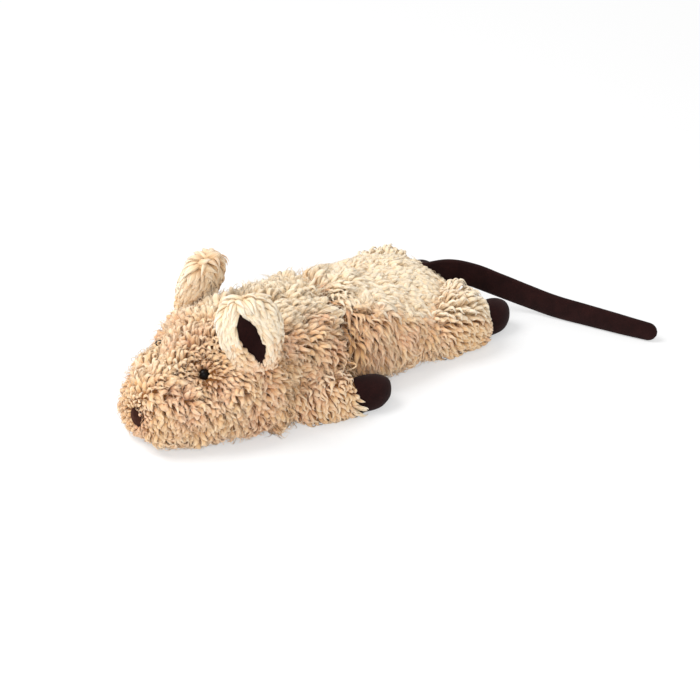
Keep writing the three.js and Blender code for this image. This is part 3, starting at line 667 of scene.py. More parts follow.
# side: seam's middle x, lean in, lean back
EARS = {"left": (-59, 14, -5), "right": (-53, 18, 10)}
FAR_EAR_FRONT = 0.82
# How far the lining's outside, its inside and its edge stand out from the cup and the ear
LINING_OUTSIDE, LINING_INSIDE, LINING_SET_BACK = 1.2, -1.0, -0.9
EAR_SEAM_RUN, EAR_FRONT_ANGLE, EAR_BACK_ANGLE, EAR_LIFT = 21.0, 50.0, 20.0, 2.0


def unit(vector):
    return vector / np.linalg.norm(vector)


def ear_form(shares, thickness, offset, grow=0.0):
    rows = []
    for up, across, thick in shares:
        half = thick * thickness / 2
        rows.append((up * EAR_HEIGHT, across * EAR_WIDTH / 2, half - offset, -half - offset))
    form = Form(rows)
    if grow:
        middle = (form.x[0] + form.x[-1]) / 2
        form.x = middle + (form.x - middle) * (1 + grow / (form.x[-1] - middle))
        form.width = form.width * (1 + grow / form.width.max())
        centre, half_high = (form.top + form.bottom) / 2, (form.top - form.bottom) / 2
        half_high = half_high * (1 + grow / half_high.max())
        form.top, form.bottom = centre + half_high, centre - half_high
    return form


def ear_frame(seam_x, lean_in, lean_back, side):
    """The ear's pivot and its axes: up, rearward and inward."""
    front = HEAD.point(seam_x - EAR_SEAM_RUN / 2, math.pi - math.radians(EAR_FRONT_ANGLE))
    back = HEAD.point(seam_x + EAR_SEAM_RUN / 2, math.pi - math.radians(EAR_BACK_ANGLE))
    seam = unit(back - front)
    outward = HEAD.normal(seam_x, math.pi - math.radians((EAR_FRONT_ANGLE + EAR_BACK_ANGLE) / 2))
    pivot = (front + back) / 2 + outward * EAR_LIFT
    up = unit(np.array([math.sin(math.radians(lean_back)), math.sin(math.radians(lean_in)), 1]))
    inward = unit(np.cross(up, seam))
    axes = np.array([up, np.cross(inward, up), inward])
    if side > 0:
        pivot, axes = pivot * [1, -1, 1], axes * [1, -1, 1]
    return pivot, axes


def cut_with(piece, cutter, operation):
    modifier = piece.modifiers.new("cut", "BOOLEAN")
    modifier.operation, modifier.object, modifier.solver = operation, cutter, "EXACT"
    apply_all(piece)
    bpy.data.objects.remove(cutter)


ears = {}
for side_name, side in SIDES.items():
    pivot, axes = ear_frame(*EARS[side_name], side)

    def stood(piece):
        """Stands a piece made along X at the ear's place. The far ear's front edge is pressed in a little."""
        points = points_of(piece.data) / MM
        if side > 0:
            points[:, 1] = np.where(points[:, 1] < 0, FAR_EAR_FRONT * points[:, 1], points[:, 1])
        set_points(piece.data, (points @ axes + pivot) * MM)
        if side > 0:
            piece.data.flip_normals()
        return piece

    def ear_piece(name, shares, thickness, offset, material, grow=0.0):
        return stood(form_piece(name, [ear_form(shares, thickness, offset, grow)], material))

    # the cup is a lens with its middle on the ear's front face, so half of it cuts in
    cup = (EAR_CUP_SHARES, 2 * EAR_CUP_DEPTH, EAR_THICKNESS / 2)
    whole = (EAR_SHARES, EAR_THICKNESS, 0)
    blade = ear_piece(f"ear_{side_name}_backing", *whole, BACKING)
    cut_with(blade, ear_piece("cup", *cup, BACKING), "DIFFERENCE")
    fuse(blade, EAR_VOXEL, 6)
    swell(blade, -EAR_PILE, 0)
    lining = ear_piece(f"ear_{side_name}_lining_suede", *cup, SUEDE, LINING_OUTSIDE)
    cut_with(lining, ear_piece("cup", *cup, SUEDE, LINING_INSIDE), "DIFFERENCE")
    cut_with(lining, ear_piece("slice", *whole, SUEDE, LINING_SET_BACK), "INTERSECT")
    ears[side_name] = {"blade": blade, "lining": lining, "pivot": pivot, "axes": axes}

# Eyes and nose

EYE_RADIUS, EYE_X, EYE_RAISE, EYE_SINK = 3.3, -87.0, 52.0, 2.2
EYE_PROFILE = [
    # out and up, in radii
    (0.2, -1.6),
    (0.92, -0.36),
    (1.0, -0.2),
    (1.0, 0.0),
    (0.97, 0.2),
    (0.86, 0.5),
    (0.66, 0.75),
    (0.36, 0.94),
]


def fix_normals(piece):
    mesh = bmesh.new()
    mesh.from_mesh(piece.data)
    bmesh.ops.recalc_face_normals(mesh, faces=mesh.faces)
    mesh.to_mesh(piece.data)
    mesh.free()


def ringed_piece(name, rings, tips, material):
    """A closed piece through rings of points, its faces turned outward."""
    piece = new_piece(name, *skin(np.array(rings), tips), material)
    fix_normals(piece)
    return piece


def turned_piece(name, profile, radius, place, axis, material, sides=32):
    """A solid turned about an axis. profile is in radii, from the foot up to just under the pole."""
    across = unit(np.cross(axis, UP if abs(axis[2]) < 0.9 else BACK))
    other = np.cross(axis, across)
    rings = []
    rounds = [math.cos(t) * across + math.sin(t) * other for t in turns_round(sides)]
    for out, up in profile:
        rings.append([place + radius * (out * outward + up * axis) for outward in rounds])
    foot, pole = place + axis * radius * profile[0][1], place + axis * radius
    return ringed_piece(name, rings, [foot, pole], material)


eye_places = {}
for side_name, side in SIDES.items():
    angle = math.pi - math.radians(EYE_RAISE)
    mirror = np.array([1, -side, 1])
    normal = HEAD.normal(EYE_X, angle) * mirror
    place = HEAD.point(EYE_X, angle) * mirror - normal * EYE_SINK
    eye_places[side_name] = place
    eye = turned_piece(f"eye_{side_name}_button", EYE_PROFILE, EYE_RADIUS, place, normal, EYE_PLASTIC)
    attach(eye, "head")
    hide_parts(f"eye_{side_name}")

NOSE_PLACE = np.array([SNOUT_X + 4.5, -1.5, 22.0])
NOSE_WIDTH, NOSE_HEIGHT, NOSE_DEPTH = 11.0, 13.0, 6.0
# As shares of half the pad: how deep and wide the cleft is, and how high up it ends
CLEFT_DEPTH, CLEFT_WIDTH, CLEFT_TOP = 0.18, 0.16, 0.15


def add_nose():
    """An oval pad with a sewn cleft down its lower half."""
    rings, sides = [], 40
    for share in np.linspace(-0.94, 0.94, 15):
        out, deep = math.cos(math.asin(share)) ** 0.9, share
        ring = []
        for turn in turns_round(sides):
            across, up = math.cos(turn) * out, math.sin(turn) * out
            pinch = CLEFT_DEPTH * bell(across, 0, CLEFT_WIDTH) if up < CLEFT_TOP else 0
            front = -(deep - pinch * (deep > 0)) * NOSE_DEPTH / 2
            ring.append(NOSE_PLACE + [front, across * NOSE_WIDTH / 2, up * NOSE_HEIGHT / 2])
        rings.append(ring)
    tips = [NOSE_PLACE + [s * NOSE_DEPTH / 2 * 0.96, 0, 0] for s in (1, -1)]
    piece = ringed_piece("nose_pad", rings, tips, NOSE_SUEDE)
    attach(piece, "head")
    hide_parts("nose")


add_nose()

# Tail: a flat strip on its edge

TAIL_ROOT = np.array([RUMP_X - 3.25, 0, 34.0])
TAIL_SPAN = np.array([95.0, -123.0, -34.0])
TAIL_SHARES = [
    # shares of the span along x, y and z
    (0, 0, 0),
    (0.2, 0.04, 0.06),
    (0.35, 0.11, 0.2),
    (0.49, 0.2, 0.42),
    (0.62, 0.32, 0.62),
    (0.72, 0.47, 0.74),
    (0.81, 0.64, 0.77),
    (0.9, 0.82, 0.79),
    (1, 1, 0.83),
]
TAIL_HEIGHT, TAIL_TIP_HEIGHT, TAIL_THICKNESS, TAIL_LEAN = 16.5, 11.5, 4.4, math.radians(12)
TAIL_FLOOR_GAP, TAIL_RIDGE, TAIL_DENT = 0.4, 0.5, 0.25
# As shares of the tail's length: where its rounded tip starts, and how long that is
TAIL_TIP_START, TAIL_TIP_RUN = 0.965, 0.035


def add_tail():
    line = spline(np.array(TAIL_SHARES) * TAIL_SPAN + TAIL_ROOT, 60)
    run = np.concatenate([[0], np.cumsum(np.linalg.norm(np.diff(line, axis=0), axis=1))])
    steps, sides = 150, 28
    rings = []

    def at(share):
        return np.array([np.interp(share * run[-1], run, line[:, i]) for i in range(3)])

    for share in np.linspace(0, 1, steps):
        middle = at(share)
        ahead = unit(at(min(share + 0.01, 1)) - at(max(share - 0.01, 0)))
        across = unit(np.array([-ahead[1], ahead[0], 0]))
        tall = unit(np.cross(ahead, across))
        lean = TAIL_LEAN * share
        across, tall = (
            across * math.cos(lean) - tall * math.sin(lean),
            tall * math.cos(lean) + across * math.sin(lean),
        )
        height = TAIL_HEIGHT + (TAIL_TIP_HEIGHT - TAIL_HEIGHT) * share**3
        tip = max(0, (share - TAIL_TIP_START) / TAIL_TIP_RUN)
        rounding = math.sqrt(1 - (0.97 * tip) ** 2)
        middle[2] = max(middle[2], height / 2 + TAIL_FLOOR_GAP)
        ring = []
        for turn in turns_round(sides):
            wide, high = rounded(turn, 2.6)
            # a sewn ridge along the upper edge, and soft dents along the sides
            ridge = TAIL_RIDGE * bell(high, 0.86, 0.07)
            dent = TAIL_DENT * math.sin(share * 46 + 3 * high) * math.sin(share * 19 + 1)
            out = wide * (TAIL_THICKNESS / 2 + dent * 0.5) * rounding + math.copysign(ridge, wide) * rounding
            ring.append(middle + across * out + tall * high * height / 2 * rounding)
        rings.append(ring)
    tips = [np.mean(rings[0], axis=0), np.mean(rings[-1], axis=0)]
    piece = ringed_piece("tail_strip", rings, tips, SUEDE)
    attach(piece, "tail")
    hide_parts("tail")


add_tail()


# The pile: thousands of curled locks


def surface_of(piece):
    """Corners and areas of the triangles, with the corners' normals, in millimetres."""
    mesh = piece.data
    mesh.calc_loop_triangles()
    corners = np.empty(len(mesh.loop_triangles) * 3, np.int32)
    mesh.loop_triangles.foreach_get("vertices", corners)
    corners = corners.reshape(-1, 3)
    points, normals = points_of(mesh)[corners] / MM, normals_of(mesh)[corners]
    areas = np.linalg.norm(np.cross(points[:, 1] - points[:, 0], points[:, 2] - points[:, 0]), axis=1) / 2
    return points, normals, areas


def strew(piece, spacing, rng):
    """Points on the piece's skin, none closer together than the spacing, with their normals."""
    points, normals, areas = surface_of(piece)
    count = int(5 * areas.sum() / spacing**2)
    chosen = rng.choice(len(areas), count, p=areas / areas.sum())
    u, v = rng.random(count), rng.random(count)
    u, v = np.where(u + v > 1, 1 - u, u), np.where(u + v > 1, 1 - v, v)
    weights = np.stack([1 - u - v, u, v], axis=1)[:, :, None]
    places = (points[chosen] * weights).sum(1)
    directions = (normals[chosen] * weights).sum(1)
    cells, kept = {}, []
    keys = np.floor(places / spacing).astype(int)
    near = [(i, j, k) for i in (-1, 0, 1) for j in (-1, 0, 1) for k in (-1, 0, 1)]
    for index, (key, place) in enumerate(zip(map(tuple, keys), places)):
        around = [m for i, j, k in near for m in cells.get((key[0] + i, key[1] + j, key[2] + k), ())]
        if all(((place - places[m]) ** 2).sum() >= spacing**2 for m in around):
            kept.append(index)
            cells.setdefault(key, []).append(index)
    kept = np.array(kept)
    return places[kept], directions[kept] / np.linalg.norm(directions[kept], axis=1)[:, None]


def waves(places, size, seed):
    """A smooth random value at each place, mostly from -1 to 1, changing over size millimetres."""
    rng = np.random.default_rng(seed)
    total = np.zeros(len(places))
    for _ in range(7):
        direction = rng.normal(size=3)
        direction *= rng.uniform(0.6, 1.4) * 2 * np.pi / size / np.linalg.norm(direction)
        total += np.sin(places @ direction + rng.uniform(0, 2 * np.pi))
    return total / 3.0


def wave_vectors(places, size, seed):
    return np.stack([waves(places, size, seed + i) for i in range(3)], axis=1)


def unit_rows(vectors):
    return vectors / np.maximum(np.linalg.norm(vectors, axis=1), 1e-9)[:, None]


def along_skin(vectors, normals):
    return unit_rows(vectors - (vectors * normals).sum(1)[:, None] * normals)


# How far over the floor a lock stays, and how deep under the skin it starts
LOCK_FLOOR, LOCK_ROOT = 0.15, 1.2


def add_locks(
    name, places, normals, flow, length, width, lift, pale,
    curl=1.0, tuck=0.75, flat=0.6, shade=0.0, rings=9, sides=6,
):
    """Curled locks of fleece. Each starts under the skin, rises, and lies over along the flow in a coil.
    length, width and lift are in millimetres. tuck is how far the tip turns back down, and flat is the
    thickness as a share of the width. A lock has rings of corners with sides to a ring, and ends in a
    point."""
    count = len(places)
    steps = np.arange(rings + 1) / rings
    share = 0.5 * steps + 0.5 * np.sin(np.pi / 2 * steps)
    length = length * rng.uniform(0.75, 1.25, count)
    width = width * rng.uniform(0.7, 1.3, count)
    lift = lift * rng.uniform(0.75, 1.2, count)
    side = np.cross(normals, flow)
    phase = rng.uniform(0, 2 * np.pi, count)[:, None]
    turns = (rng.uniform(0.7, 1.5, count) * np.sign(rng.uniform(-1, 1, count)))[:, None]
    swing = (rng.uniform(0.5, 1.3, count) * curl)[:, None]
    s = share[None, :]
    coil = 2 * np.pi * turns * s + phase
    bend = np.pi * (tuck + rng.uniform(-0.15, 0.15, count))[:, None]
    rise = -LOCK_ROOT + (lift[:, None] + LOCK_ROOT) * np.sin(bend * s) ** 0.8
    rise += 0.55 * swing * (np.cos(coil) - np.cos(phase)) * s
    aside = swing * (np.sin(coil) - np.sin(phase)) * (0.35 + 0.65 * s)
    line = (
        places[:, None, :]
        + flow[:, None, :] * (length[:, None] * (0.92 * s - 0.16))[:, :, None]
        + normals[:, None, :] * rise[:, :, None]
        + side[:, None, :] * aside[:, :, None]
    )
    ahead = np.gradient(line, axis=1)
    ahead /= np.linalg.norm(ahead, axis=2)[:, :, None]
    across = side[:, None, :] - (side[:, None, :] * ahead).sum(2)[:, :, None] * ahead
    across /= np.linalg.norm(across, axis=2)[:, :, None]
    over = np.cross(ahead, across)
    girth = (0.7 + 0.3 * np.sin(np.pi * np.minimum(1, 1.3 * share))) * np.maximum(1 - share**2.4, 0) ** 0.7
    girth = width[:, None] / 2 * girth[None, :]
    twist = rng.uniform(-0.8, 0.8, count)[:, None, None] * s[:, :, None] + turns_round(sides)[None, None, :]
    ring = (
        line[:, :rings, None, :]
        + across[:, :rings, None, :] * (girth[:, :rings, None] * np.cos(twist[:, :rings]))[..., None]
        + over[:, :rings, None, :] * (flat * girth[:, :rings, None] * np.sin(twist[:, :rings]))[..., None]
    )
    vertices = np.concatenate([ring.reshape(count, -1, 3), line[:, rings:, :]], axis=1)
    vertices[..., 2] = np.maximum(vertices[..., 2], LOCK_FLOOR)
    per_lock = rings * sides + 1
    # faces of one lock, and where each corner lies round and along it
    faces, corners_uv = [], []
    for i in range(rings - 1):
        for j in range(sides):
            k = (j + 1) % sides
            faces.append((i * sides + j, i * sides + k, (i + 1) * sides + k, (i + 1) * sides + j))
            corners_uv += [(j, i), (j + 1, i), (j + 1, i + 1), (j, i + 1)]
    for j in range(sides):
        k = (j + 1) % sides
        faces.append(((rings - 1) * sides + j, (rings - 1) * sides + k, rings * sides))
        corners_uv += [(j, rings - 1), (j + 1, rings - 1), (j + 0.5, rings)]
    faces.append(tuple(range(sides - 1, -1, -1)))
    corners_uv += [(j, 0) for j in range(sides - 1, -1, -1)]
    sizes = np.array([len(f) for f in faces])
    corner_list = np.concatenate([np.array(f) for f in faces])
    corners_uv = np.array(corners_uv) / [sides, rings]
    loops = (np.arange(count)[:, None] * per_lock + corner_list[None, :]).ravel()
    starts = np.concatenate([[0], np.cumsum(np.tile(sizes, count))[:-1]])

    mesh = bpy.data.meshes.new(name)
    mesh.vertices.add(count * per_lock)
    mesh.vertices.foreach_set("co", (vertices * MM).astype(np.float32).ravel())
    mesh.loops.add(len(loops))
    mesh.loops.foreach_set("vertex_index", loops.astype(np.int32))
    mesh.polygons.add(count * len(faces))
    mesh.polygons.foreach_set("loop_start", starts.astype(np.int32))
    mesh.update(calc_edges=True)

    grid = math.ceil(math.sqrt(count))
    cell = np.stack([np.arange(count) % grid, np.arange(count) // grid], axis=1)
    bake = (cell[:, None, :] + 0.06 + 0.88 * corners_uv[None, :, :]) / grid
    # in millimetres round and along the lock, and moved on so that no two locks look alike
    unrolled = np.stack([2.6 * width, length], axis=1)[:, None, :]
    strand = corners_uv[None, :, :] * unrolled + 7.3 * cell[:, None, :]
    for layer, values in (("OFBake", bake), ("strand", strand)):
        mesh.uv_layers.new(name=layer).data.foreach_set("uv", values.astype(np.float32).ravel())
    point_share = np.concatenate([np.repeat(share[:rings], sides), [1.0]])
    rosy = np.clip(0.3 + 0.45 * waves(places, 24, seed=5) + rng.uniform(-0.3, 0.3, count), 0, 1)
    light = np.clip(pale + rng.uniform(-0.2, 0.2, count), 0, 1)
    for label, values in (
        ("along", np.tile(point_share, count)),
        ("tint", np.repeat(rosy, per_lock)),
        ("pale", np.repeat(light, per_lock)),
        ("shade", np.repeat(np.broadcast_to(shade, count), per_lock)),
    ):
        mark(mesh, label, values)
    mesh.materials.append(PILE)
    mesh.shade_smooth()
    piece = placed(name, mesh)
    return piece


def in_body(places, grow):
    return HEAD.holds(places, grow) | TORSO.holds(places, grow)


def push_from(flow, places, centre, radius):
    """Turns the flow away from a centre within the radius."""
    away = places - centre
    distance = np.linalg.norm(away, axis=1)
    weight = np.clip(1.3 * (1 - distance / radius), 0, 1)[:, None]
    return flow * (1 - weight) + unit_rows(away) * weight


rng = np.random.default_rng(11)


def body_flow(places, normals):
    """Back along the top and down the sides, stirred by slow and quick whorls."""
    x, y, z = places.T
    steep = 1 - np.abs(normals[:, 2])
    sides = np.sign(y) * np.minimum(1, np.abs(y) / 12)
    low, rump = grows(z, 48, -20), grows(x, 62, 24)
    # beside the fold the pile hangs along it
    hanging = bell(waist_offset(places), 8, 16) * low
    back = (0.55 - 0.5 * low * (1 - rump) + 0.4 * rump) * (1 - hanging)
    down = 0.15 + steep * (0.5 + 0.9 * low) + 0.8 * hanging
    flow = back[:, None] * BACK - down[:, None] * UP + (0.45 * sides)[:, None] * ASIDE
    flow = flow + 0.42 * wave_vectors(places, 30, seed=21) + 0.4 * wave_vectors(places, 9, seed=31)
    for centre, reach in zip(FEATURES, FEATURE_PARTING):
        flow = push_from(flow, places, centre, reach)
    return flow


# The nose and the eyes: how far round each it is bare, how far round the pile parts, and how far round
# each the pile takes painted shade
FEATURES = [NOSE_PLACE, *eye_places.values()]
FEATURE_ROOM = (4.5, 3.4, 4.0)
FEATURE_PARTING = (15, 8, 8)
FEATURE_SHADE_REACH = 6.5

# Where the pile stands higher or lower: x, reach along x, on the top, the flanks or low, and by what share
PILE_CHANGES = (
    (88, 26, "top", -0.5),
    (62, 24, "top", -0.45),
    (100, 16, "flank", 0.8),
    (34, 14, "top", 0.3),
    (8, 16, "top", 0.25),
    (-28, 24, "top", 0.75),
    (-88, 11, "top", 0.45),
    (-118, 8, "top", -0.5),
    (-108, 9, "low", -0.5),
    (-44, 18, "low", 0.8),
)

# The way that the pile with the most painted light faces: up, and a little back and to the right
LIT_FACE = unit(np.array([0.5, 0.3, 0.8]))


def painted_light(places, normals):
    """How much painted light the pile takes by the way it faces, from 0 to 1: most on the back, less so on
    the neck and the head.
    """
    x = places[:, 0]
    start = 0.42 + 0.1 * bell(x, -14, 24) - 0.3 * grows(x, 52, 34)
    return (0.4 + 0.6 * grows(x, -74, 20)) * grows(normals @ LIT_FACE, start, 0.2)


def fold_shade(places):
    """1 down in the fold at the waist, where the pile and the backing take painted shade."""
    return near_fold(places, 1, 5.5)


def scales_on(places, normals):
    """Slow changes of the pile over the body: its length, its height and how pale it is, which is painted
    light.
    """
    x, _, z = places.T
    near = np.minimum.reduce([np.linalg.norm(places - centre, axis=1) for centre in FEATURES])
    length = np.clip(near / 16, 0.55, 1)
    lift = length * (1 + 0.2 * waves(places, 15, seed=41))
    where_shares = {
        "top": np.clip(1.5 * normals[:, 2], 0, 1),
        "flank": grows(normals[:, 2], 0.8, -0.2) * grows(z, 18, 10),
        "low": grows(z, 26, -16),
    }
    for middle, reach, where, change in PILE_CHANGES:
        lift = lift * (1 + change * bell(x, middle, reach) * where_shares[where])
    # the front of the body bulges over the fold at the waist
    behind = waist_offset(places)
    fold = (0.3 + 0.7 * fold_side(places)) * bell(behind, 2, 4.5)
    lift = lift * (1 + 0.4 * bell(behind, -8, 5) - 0.6 * fold)
    length = length * (1 - 0.4 * bell(behind, -4, 4))
    pale = painted_light(places, normals)
    # behind the fold the pile lies flatter where it takes the most painted light
    lift = lift * (1 - 0.3 * pale * grows(x, 20, 20))
    # the fold's painted shade takes back most of the painted light, and the paleness also changes at random
    return length, lift, pale * (1 - 0.7 * fold_shade(places)) + 0.1 * waves(places, 30, seed=77)


# name, lowest and highest x, length
BODY_PATCHES = (
    ("head", -999, -62, 7.5),
    ("neck", -62, -22, 8.5),
    ("chest", -22, 14, 9.5),
    ("waist", 14, 58, 12.5),
    ("rump", 58, 999, 9.0),
)
LOCK_SPACING, LOCK_WIDTH = 2.05, 3.15
FIBRE_SPACING, FIBRE_WIDTH = 1.6, 0.5
LOCK_LIFT, FIBRE_LIFT, LIMB_LIFT = 5.4, 6.6, 4.4
EAR_LOCK_SPACING = 2.0
# Painted light on the ears' pile and knit: the ear by the camera's side takes more, the far ear, on the
# shaded side, less
EAR_PAINTED_LIGHT = {"left": 0.95, "right": 0.55}
EAR_KNIT_PAINTED_LIGHT = {"left": 0.9, "right": 0.4}
EAR_LOCK_LIFT = {"left": 2.2, "right": 2.6}


def in_limb(limb, places, grow):
    """Which places lie inside the limb's sleeve when it is grown by millimetres."""
    return limb["form"].holds(turned_about_z(places - limb["pivot"], -limb["angle"]), grow)


def roots_on_body(spacing):
    """Places and normals for locks on the body, clear of the belly, the face's features and the limbs."""
    places, normals = strew(body, spacing, rng)
    # bare down in the fold, and sparse just behind it, where dark gaps show between the strands
    in_fold = (np.abs(waist_offset(places) - 0.8) < 2.8) & (fold_side(places) > 0.5)
    sparse = 0.55 * near_fold(places, 8, 8)
    keep = (places[:, 2] > BELLY_PILE + 0.6) & ~in_fold & (rng.random(len(places)) > sparse)
    for centre, room in zip(FEATURES, FEATURE_ROOM):
        keep &= np.linalg.norm(places - centre, axis=1) > room
    for limb in limbs.values():
        # some grows on under the limb, for when it swings
        keep &= ~in_limb(limb, places, -LIMB_PILE - HIDDEN_PILE)
    return places[keep], normals[keep]


def beside_limbs(places):
    """1 where the pile of the body closes over the root of a limb."""
    return np.any([in_limb(limb, places, BESIDE_LIMB) for limb in limbs.values()], axis=0)


def dress_body():
    for kind, spacing in (("pile", LOCK_SPACING), ("fibres", FIBRE_SPACING)):
        all_places, all_normals = roots_on_body(spacing)
        for label, low, high, length in BODY_PATCHES:
            here = (all_places[:, 0] >= low) & (all_places[:, 0] < high)
            places, normals = all_places[here], all_normals[here]
            flow = body_flow(places, normals)
            lengths, lifts, pale = scales_on(places, normals)
            lifts = lifts * (1 + 0.3 * beside_limbs(places))
            # painted shade in the fold, on the strands that hang behind it, and on the pile round the eyes
            # and the nose
            behind = near_fold(places, 9, 9)
            distances = [np.linalg.norm(places - centre, axis=1) for centre in FEATURES]
            shade_round_features = sum(bell(distance, 0, FEATURE_SHADE_REACH) for distance in distances)
            shade = np.clip(0.9 * fold_shade(places) + 0.4 * behind + 0.45 * shade_round_features, 0, 0.95)
            name = f"{label}_{kind}"
            if kind == "pile":
                flow = along_skin(flow, normals)
                width = LOCK_WIDTH * np.sqrt(lengths) * (1 + 0.3 * np.clip(pale, 0, 1))
                form = (length * lengths, width, LOCK_LIFT * lifts, pale)
                style = {"curl": lengths**2}
            else:
                flow = along_skin(flow + 0.35 * rng.normal(size=flow.shape), normals)
                form = (1.05 * length * lengths, FIBRE_WIDTH, FIBRE_LIFT * lifts, pale + 0.15)
                style = {"curl": 1.6, "tuck": 0.7, "flat": 1.0, "rings": 6, "sides": 3}
            piece = add_locks(name, places, normals, flow, *form, shade=shade, **style)
            if label == "neck":
                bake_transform(piece)
            else:
                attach(piece, "head" if label == "head" else "torso")


# How much of the body's painted light the pile and the knit of each kind of limb take
LIMB_PAINTED_LIGHT = {"arm": 0.35, "leg": 1.0}


def dress_limbs():
    for (kind, side_name), limb in limbs.items():
        places, normals = strew(limb["sleeve"], LOCK_SPACING, rng)
        local = turned_about_z(places - limb["pivot"], -limb["angle"])
        room = limb["length"] - local[:, 0]
        # the paw's upper side shows further up the arm than its lower one
        bare = 1.2 + (2.8 * grows(places[:, 2], 13, 4) if kind == "arm" else 0)
        keep = (places[:, 2] > BELLY_PILE + 0.4) & ~in_body(places, -BODY_PILE - HIDDEN_PILE) & (room > bare)
        places, normals, room = places[keep], normals[keep], room[keep]
        along = turned_about_z(BACK, limb["angle"])
        # a tuft hangs over the paw's lower half
        low = grows(places[:, 2], 17, -8) * np.clip(1 - room / 11, 0, 1) * (kind == "arm")
        # the body's flow runs on over the limb, and by the cuff it turns along the limb
        by_cuff = np.clip(1 - room / 9, 0, 1)
        flow = body_flow(places, normals) + (0.2 + 2.5 * low + 1.5 * by_cuff)[:, None] * along
        flow = along_skin(flow, normals)
        length = np.clip(0.8 * room + 13 * low, 3.2, 9 + 7 * low)
        # painted light as on the body, weaker on the arms; the tuft over the paw is paler still
        pale = LIMB_PAINTED_LIGHT[kind] * painted_light(places, normals)
        pale = pale + 0.1 * waves(places, 30, seed=77) + 1.3 * low
        raised = 0.2 if kind == "arm" else 1.4 * grows(room, 8, 10)
        lift = LIMB_LIFT * np.minimum(length, 9) / 9 * (1 + raised * np.clip(normals[:, 2], 0, 1))
        curl = 1 - 0.7 * np.maximum(low, by_cuff)
        name = f"{kind}_{side_name}_pile"
        piece = add_locks(name, places, normals, flow, length, LOCK_WIDTH, lift, pale, curl=curl)
        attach(piece, f"{kind}_{side_name}")


def cup_half_width(rise):
    """Half of the cup's width at a height up the ear, both as shares of the ear's own."""
    rises, widths, _ = zip(*EAR_CUP_SHARES)
    return np.interp(rise, rises, widths)


def leaf_edge(rise, edge, offset=0.0):
    """Where the leaf-shaped opening over the lining has its front (-1) or rear (1) edge, at a height."""
    share = grows(rise, 0.05, 0.8)
    return 0.4 * (0.48 - rise) + edge * (0.4 * np.sin(np.pi * share) ** 0.7 + offset)


# Long straight locks round the opening: the edge, where along the ear's height they start, how far out
# from the opening, how long and how pale they are
RIM_ROWS = (
    (-1, np.linspace(0.96, 0.5, 20), (0.05, 0.17, 0.3, 0.43, 0.56), 11.0, 0.95),
    (-1, np.linspace(0.48, 0.08, 16), (0.03, 0.14, 0.26), 5.5, 0.2),
    (1, np.linspace(0.96, 0.56, 18), (0.05, 0.17, 0.3, 0.43, 0.56, 0.7), 11.0, 0.95),
    (1, np.linspace(0.54, 0.16, 18), (0.05, 0.17, 0.3, 0.43), 10.0, 0.9),
    (1, np.linspace(0.12, 0.04, 3), (0.05, 0.2), 5.0, 0.4),
)


STRIP_WIDTH, STRIP_LIFT = 3.4, 2.0


def add_rim_strips(side_name, ear):
    """Long straight locks that frame the lining."""
    corners, faces = [], []
    for part in (ear["blade"], ear["lining"]):
        faces += [tuple(len(corners) + v for v in p.vertices) for p in part.data.polygons]
        corners += [v.co.copy() for v in part.data.vertices]
    tree = BVHTree.FromPolygons(corners, faces)
    up, rearward, inward = ear["axes"]
    places, normals, flows, lengths, pale = [], [], [], [], []
    for edge, rises, offsets, length, paleness in RIM_ROWS:
        for rise in rises:
            for offset in offsets:
                across = leaf_edge(rise, edge, offset)
                # the locks run beside the opening's edge
                slope = (leaf_edge(rise - 0.1, edge) - leaf_edge(rise + 0.02, edge)) / 0.12
                start = ear["pivot"] + up * EAR_HEIGHT * (rise + rng.uniform(-0.02, 0.02)) - inward * 20
                start = start + rearward * (across + rng.uniform(-0.03, 0.03)) * EAR_WIDTH / 2
                hit, normal, _, _ = tree.ray_cast(Vector(start * MM), Vector(inward))
                if hit is None:
                    continue
                places.append(np.array(hit) / MM)
                normals.append(np.array(normal))
                down = -up * EAR_HEIGHT + rearward * np.clip(slope, -1.2, 1.2) * EAR_WIDTH / 2
                flows.append(unit(down) + rng.normal(0, 0.05, 3))
                lengths.append(length)
                pale.append(paleness)
    places, normals, pale = np.array(places), np.array(normals), np.array(pale)
    flows = along_skin(np.array(flows), normals)
    form = (np.array(lengths), STRIP_WIDTH, STRIP_LIFT, pale)
    return add_locks(f"ear_{side_name}_strips", places, normals, flows, *form, curl=0.2, tuck=0.8, flat=0.4)


def dress_ears():
    for side_name, ear in ears.items():
        up, rearward, _ = ear["axes"]
        places, normals = strew(ear["blade"], EAR_LOCK_SPACING, rng)
        local = (places - ear["pivot"]) @ ear["axes"].T
        rise, across, depth = local[:, 0] / EAR_HEIGHT, local[:, 1] / (EAR_WIDTH / 2), local[:, 2]
        on_cup = (depth < 0) & (np.abs(across) < cup_half_width(rise)) & (rise < 0.88)
        keep = ~on_cup & ~in_body(places, -BODY_PILE)
        places, normals, rise, across = (values[keep] for values in (places, normals, rise, across))
        # down from the tip, and up over the foot of the lining
        down = np.clip((rise - 0.08) / 0.08, -0.6, 1)
        flow = -down[:, None] * up + (0.25 * across)[:, None] * rearward
        flow = flow + 0.2 * wave_vectors(places, 16, seed=91)
        stirred = 0.15 + 0.35 * grows(rise, 0.75, 0.15) * (side_name == "right")
        flow = along_skin(flow + stirred[:, None] * wave_vectors(places, 7, seed=95), normals)
        # painted light on the ear's pile, more towards its tip
        pale = EAR_PAINTED_LIGHT[side_name] * grows(rise, -0.1, 0.7)
        length = 6 + 6 * np.clip(rise, 0, 1)
        lift = EAR_LOCK_LIFT[side_name] * (1 + 0.7 * across)
        width = 3.0 + 1.2 * np.clip(rise, 0, 1)
        form = (length, width, lift, pale)
        name = f"ear_{side_name}_pile"
        piece = add_locks(name, places, normals, flow, *form, curl=0.4, tuck=0.85, flat=0.4)
        strips = add_rim_strips(side_name, ear)
        for part in (piece, strips):
            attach(part, f"ear_{side_name}")


